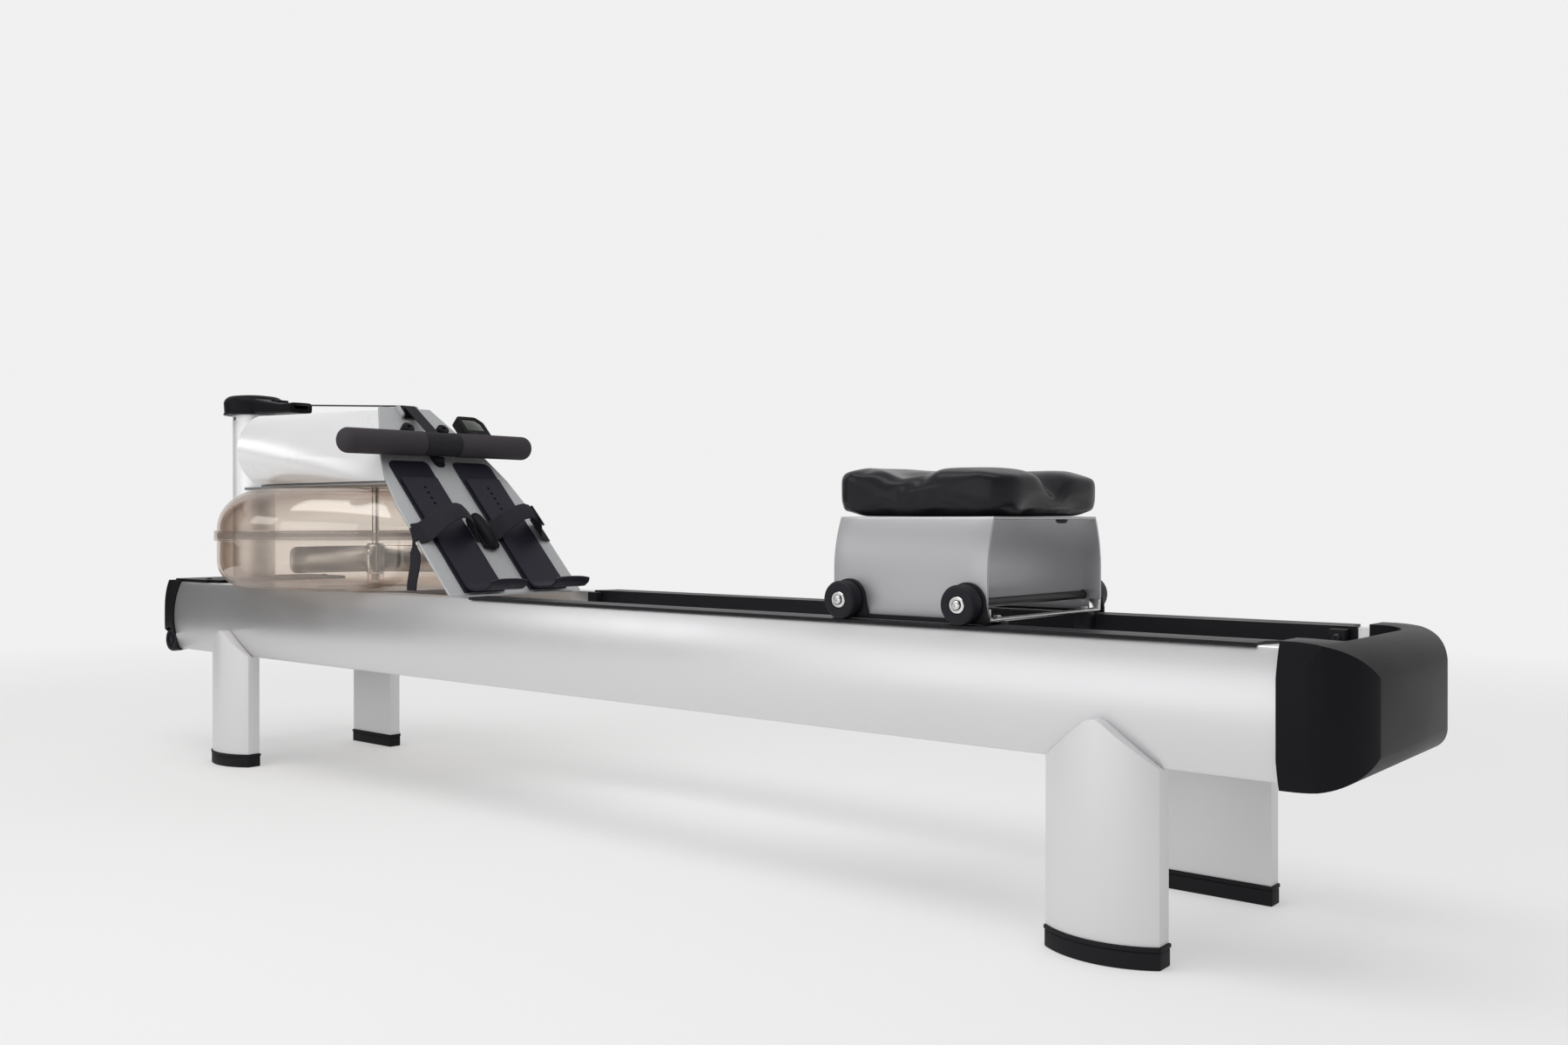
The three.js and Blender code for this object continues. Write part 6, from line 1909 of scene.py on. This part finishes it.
    def top_height(self, x: float, y: float, low: Vector, high: Vector) -> float:
        """How high the cushion's top is above its underside, by place."""
        u = (x - low.x) / (high.x - low.x)
        front = ((0.0, 46.0), (0.12, 47.5), (0.22, 45.0), (0.4, 35.0))
        tail = ((0.52, 38.0), (0.64, 44.0), (0.82, 43.5), (1.0, 39.5))
        height = along_line(front + tail, u, 1.0)
        v = abs(y) / high.y
        notch = 24.0 * max(0.0, (u - 0.62) / 0.38) ** 1.3 * math.exp(-((y / 26.0) ** 2))
        hollow = 7.0 * math.exp(-(((u - 0.42) / 0.2) ** 2)) * math.exp(-(((v - 0.42) / 0.3) ** 2))
        return height - notch - hollow

    def cushion(self) -> None:
        """The glossy cushion, swelled by a cloth simulation and finished with a seam line."""
        low, high = node_box("seat_cushion")
        inset, corner = 2.0, 30.0
        x0, x1, half = low.x + inset, high.x - inset, high.y - inset
        right = [(x1, half, corner + 8), (x0, half - 2, corner)]
        outline = rounded([*[(x, -y, r) for x, y, r in reversed(right)], *right], 8)
        pad = Bench.prism("cushion_pad", outline, Plane.ALONG_Z, low.z + 0.6, low.z + 40)
        Bench.soften(pad, 7.0, 4)
        Bench.modify(pad, "REMESH", mode="VOXEL", voxel_size=4.5 * MM)
        base = low.z + 0.6
        for vertex in pad.data.vertices:
            x, y, z = vertex.co / MM
            share = (z - base) / (40 - 0.6)
            vertex.co.z = (base + share * (self.top_height(x, y, low, high) - 0.5)) * MM
        self.swell(pad)
        Bench.modify(pad, "SMOOTH", factor=0.5, iterations=3)
        self.fit(pad, low, high)
        seam_z, seam_width = base + 11.0, 1.5
        for vertex in pad.data.vertices:
            x, y, z = vertex.co / MM
            out = Vector((x - self.centre_x, y, 0)).normalized()
            groove = 1.1 * math.exp(-(((z - seam_z) / seam_width) ** 2))
            vertex.co -= out * (groove * MM)
        Bench.modify(pad, "SUBSURF", levels=1, render_levels=1)
        SHOP.settle(pad, Palette.SKIN, "carriage", ["seat_cushion"], 80)

    def fit(self, pad: Piece, low: Vector, high: Vector) -> None:
        """Stretches the pad to fill the CAD cushion's length and width, and sets it down on the arch."""
        for axis in (0, 1):
            spots = [v.co[axis] for v in pad.data.vertices]
            middle, reach = (min(spots) + max(spots)) / 2, (max(spots) - min(spots)) / 2
            target = (low[axis] + high[axis]) / 2 * MM
            half = (high[axis] - low[axis]) / 2 * MM * self.cushion_grow
            for vertex in pad.data.vertices:
                vertex.co[axis] = target + (vertex.co[axis] - middle) * half / reach
        drop = min(v.co.z for v in pad.data.vertices) - (low.z + 0.05) * MM
        for vertex in pad.data.vertices:
            vertex.co.z -= drop

    def swell(self, pad: Piece) -> None:
        """Lets pressure round the pad, and caps how far a point moves."""
        before = [v.co.copy() for v in pad.data.vertices]
        Bench.only(pad)
        cloth = pad.modifiers.new("swell", "CLOTH")
        cloth.settings.use_pressure = True
        cloth.settings.uniform_pressure_force = 4.0
        cloth.settings.effector_weights.gravity = 0.0
        cloth.settings.quality = 5
        scene = bpy.context.scene
        for step in range(1, 15):
            scene.frame_set(step)
        bpy.ops.object.modifier_apply(modifier=cloth.name)
        scene.frame_set(1)
        cap = 5.0 * MM
        for vertex, rest in zip(pad.data.vertices, before):
            move = vertex.co - rest
            if move.length > cap:
                vertex.co = rest + move.normalized() * cap


# ---- studio ----------------------------------------------------------------------------------------
@dataclass
class Studio:
    """The pale floor, the soft lights and the camera, in metres."""

    camera_at: Point3 = (1.4429, -1.3611, 0.4219)
    yaw: float = math.radians(40.037)
    pitch: float = -0.0019
    roll: float = 0.0003
    lens: float = 31.665
    background: Colour = (0.876, 0.876, 0.874)
    ceiling: float = 0.75
    room: float = 0.55
    beyond: float = 0.6

    def camera(self) -> None:
        """The camera at the machine's right front."""
        data = bpy.data.cameras.new("camera")
        data.lens, data.sensor_width = self.lens, 36.0
        data.clip_end = 200.0
        camera = bpy.data.objects.new("camera", data)
        bpy.context.collection.objects.link(camera)
        camera.location = self.camera_at
        camera.rotation_euler = (math.pi / 2 + self.pitch, self.roll, self.yaw)
        bpy.context.scene.camera = camera

    def lamp(self, name: str, at: Point3, aim: Point3, size: Point2, power: float) -> None:
        """A rectangular softbox.

        Args:
            name: The lamp's name.
            at: Where it stands.
            aim: The point that it faces.
            size: Its width and height.
            power: Its power in watts.
        """
        data = bpy.data.lights.new(name, "AREA")
        data.shape, data.size, data.size_y, data.energy = "RECTANGLE", size[0], size[1], power
        lamp = bpy.data.objects.new(name, data)
        bpy.context.collection.objects.link(lamp)
        lamp.location = at
        lamp.rotation_euler = (Vector(aim) - Vector(at)).to_track_quat("-Z", "Y").to_euler()

    def floor(self) -> None:
        """A wide floor that fades into the background's colour."""
        Bench.clear()
        bpy.ops.mesh.primitive_circle_add(vertices=96, radius=60.0, fill_type="NGON")
        floor = bpy.context.object
        floor.name = "studio_floor"
        shader = Shader("studio_floor")
        spot = shader.node("ShaderNodeTexCoord", output="Object")
        reach = shader.node("ShaderNodeVectorMath", {"operation": "LENGTH"}, {0: spot}, "Value")
        fade = shader.node("ShaderNodeMapRange", inputs={0: reach, 1: 0.9, 2: 3.4, 3: 0.4}, output=0)
        matt = shader.node(
            "ShaderNodeBsdfPrincipled", inputs={"Base Color": (0.9, 0.9, 0.898, 1), "Roughness": 0.75}
        )
        glow = shader.node("ShaderNodeEmission", inputs={"Color": (*self.background, 1), "Strength": 1.0})
        floor.data.materials.append(
            shader.output(shader.node("ShaderNodeMixShader", inputs={0: fade, 1: matt, 2: glow}))
        )

    def world(self) -> None:
        """A pale surround, dimmer overhead and behind the camera."""
        world = bpy.data.worlds.new("studio")
        bpy.context.scene.world = world
        world.use_nodes = True
        tree = world.node_tree
        spot = tree.nodes.new("ShaderNodeTexCoord")
        parts = tree.nodes.new("ShaderNodeSeparateXYZ")
        tree.links.new(spot.outputs["Generated"], parts.inputs[0])

        def share(axis: str, low: float, high: float, ends: Point2) -> bpy.types.NodeSocket:
            """A share that goes from one value to the other between two heights on an axis."""
            made = tree.nodes.new("ShaderNodeMapRange")
            for key, value in zip(("From Min", "From Max", "To Min", "To Max"), (low, high, *ends)):
                made.inputs[key].default_value = value
            tree.links.new(parts.outputs[axis], made.inputs["Value"])
            return made.outputs[0]

        level = share("Z", 0.5, 0.8, (1.0, self.ceiling))
        for other in (share("Y", -0.35, 0.25, (self.room, 1.0)), share("X", 0.1, 0.5, (1.0, self.beyond))):
            product = tree.nodes.new("ShaderNodeMath")
            product.operation = "MULTIPLY"
            tree.links.new(level, product.inputs[0])
            tree.links.new(other, product.inputs[1])
            level = product.outputs[0]
        surround = tree.nodes["Background"]
        surround.inputs["Color"].default_value = (*self.background, 1)
        tree.links.new(level, surround.inputs["Strength"])

    def flag(self) -> None:
        """A dark card beyond the machine's front, out of sight, that the bright metal and the tank mirror."""
        Bench.clear()
        bpy.ops.mesh.primitive_plane_add(size=1.0)
        card = bpy.context.object
        card.name = "dark_card"
        card.scale = (1.4, 1.3, 1.0)
        card.rotation_euler = (0.0, math.radians(90), 0.0)
        card.location = (-2.5, -0.75, 0.7)
        shader = Shader("dark_card")
        values = {"Base Color": (0.05, 0.045, 0.04, 1), "Roughness": 0.9}
        card.data.materials.append(shader.output(shader.node("ShaderNodeBsdfPrincipled", inputs=values)))

    def build(self) -> None:
        """Sets the whole studio up."""
        bpy.context.scene.view_settings.view_transform = "Standard"
        self.camera()
        self.world()
        self.floor()
        self.flag()
        self.lamp("overhead", (0.2, -0.9, 2.6), (0.0, 0.0, 0.3), (3.6, 1.4), 40)
        self.lamp("side", (0.5, -3.4, 0.85), (0.3, 0.0, 0.25), (4.0, 1.6), 17)
        self.lamp("front", (-2.4, -2.8, 1.5), (-0.7, 0.0, 0.5), (1.4, 0.9), 7)


def main() -> None:
    """Builds the studio and every sub-assembly in order."""
    logging.basicConfig(level=logging.INFO, format="%(message)s")
    builders = (Studio, Chassis, TailBumper, FrontEnd, Tank, Column, Footboard, Handle, Monitor, Seat)
    for builder in builders:
        builder().build()
        LOG.info("built %s", builder.__name__)


if __name__ == "__main__":
    main()
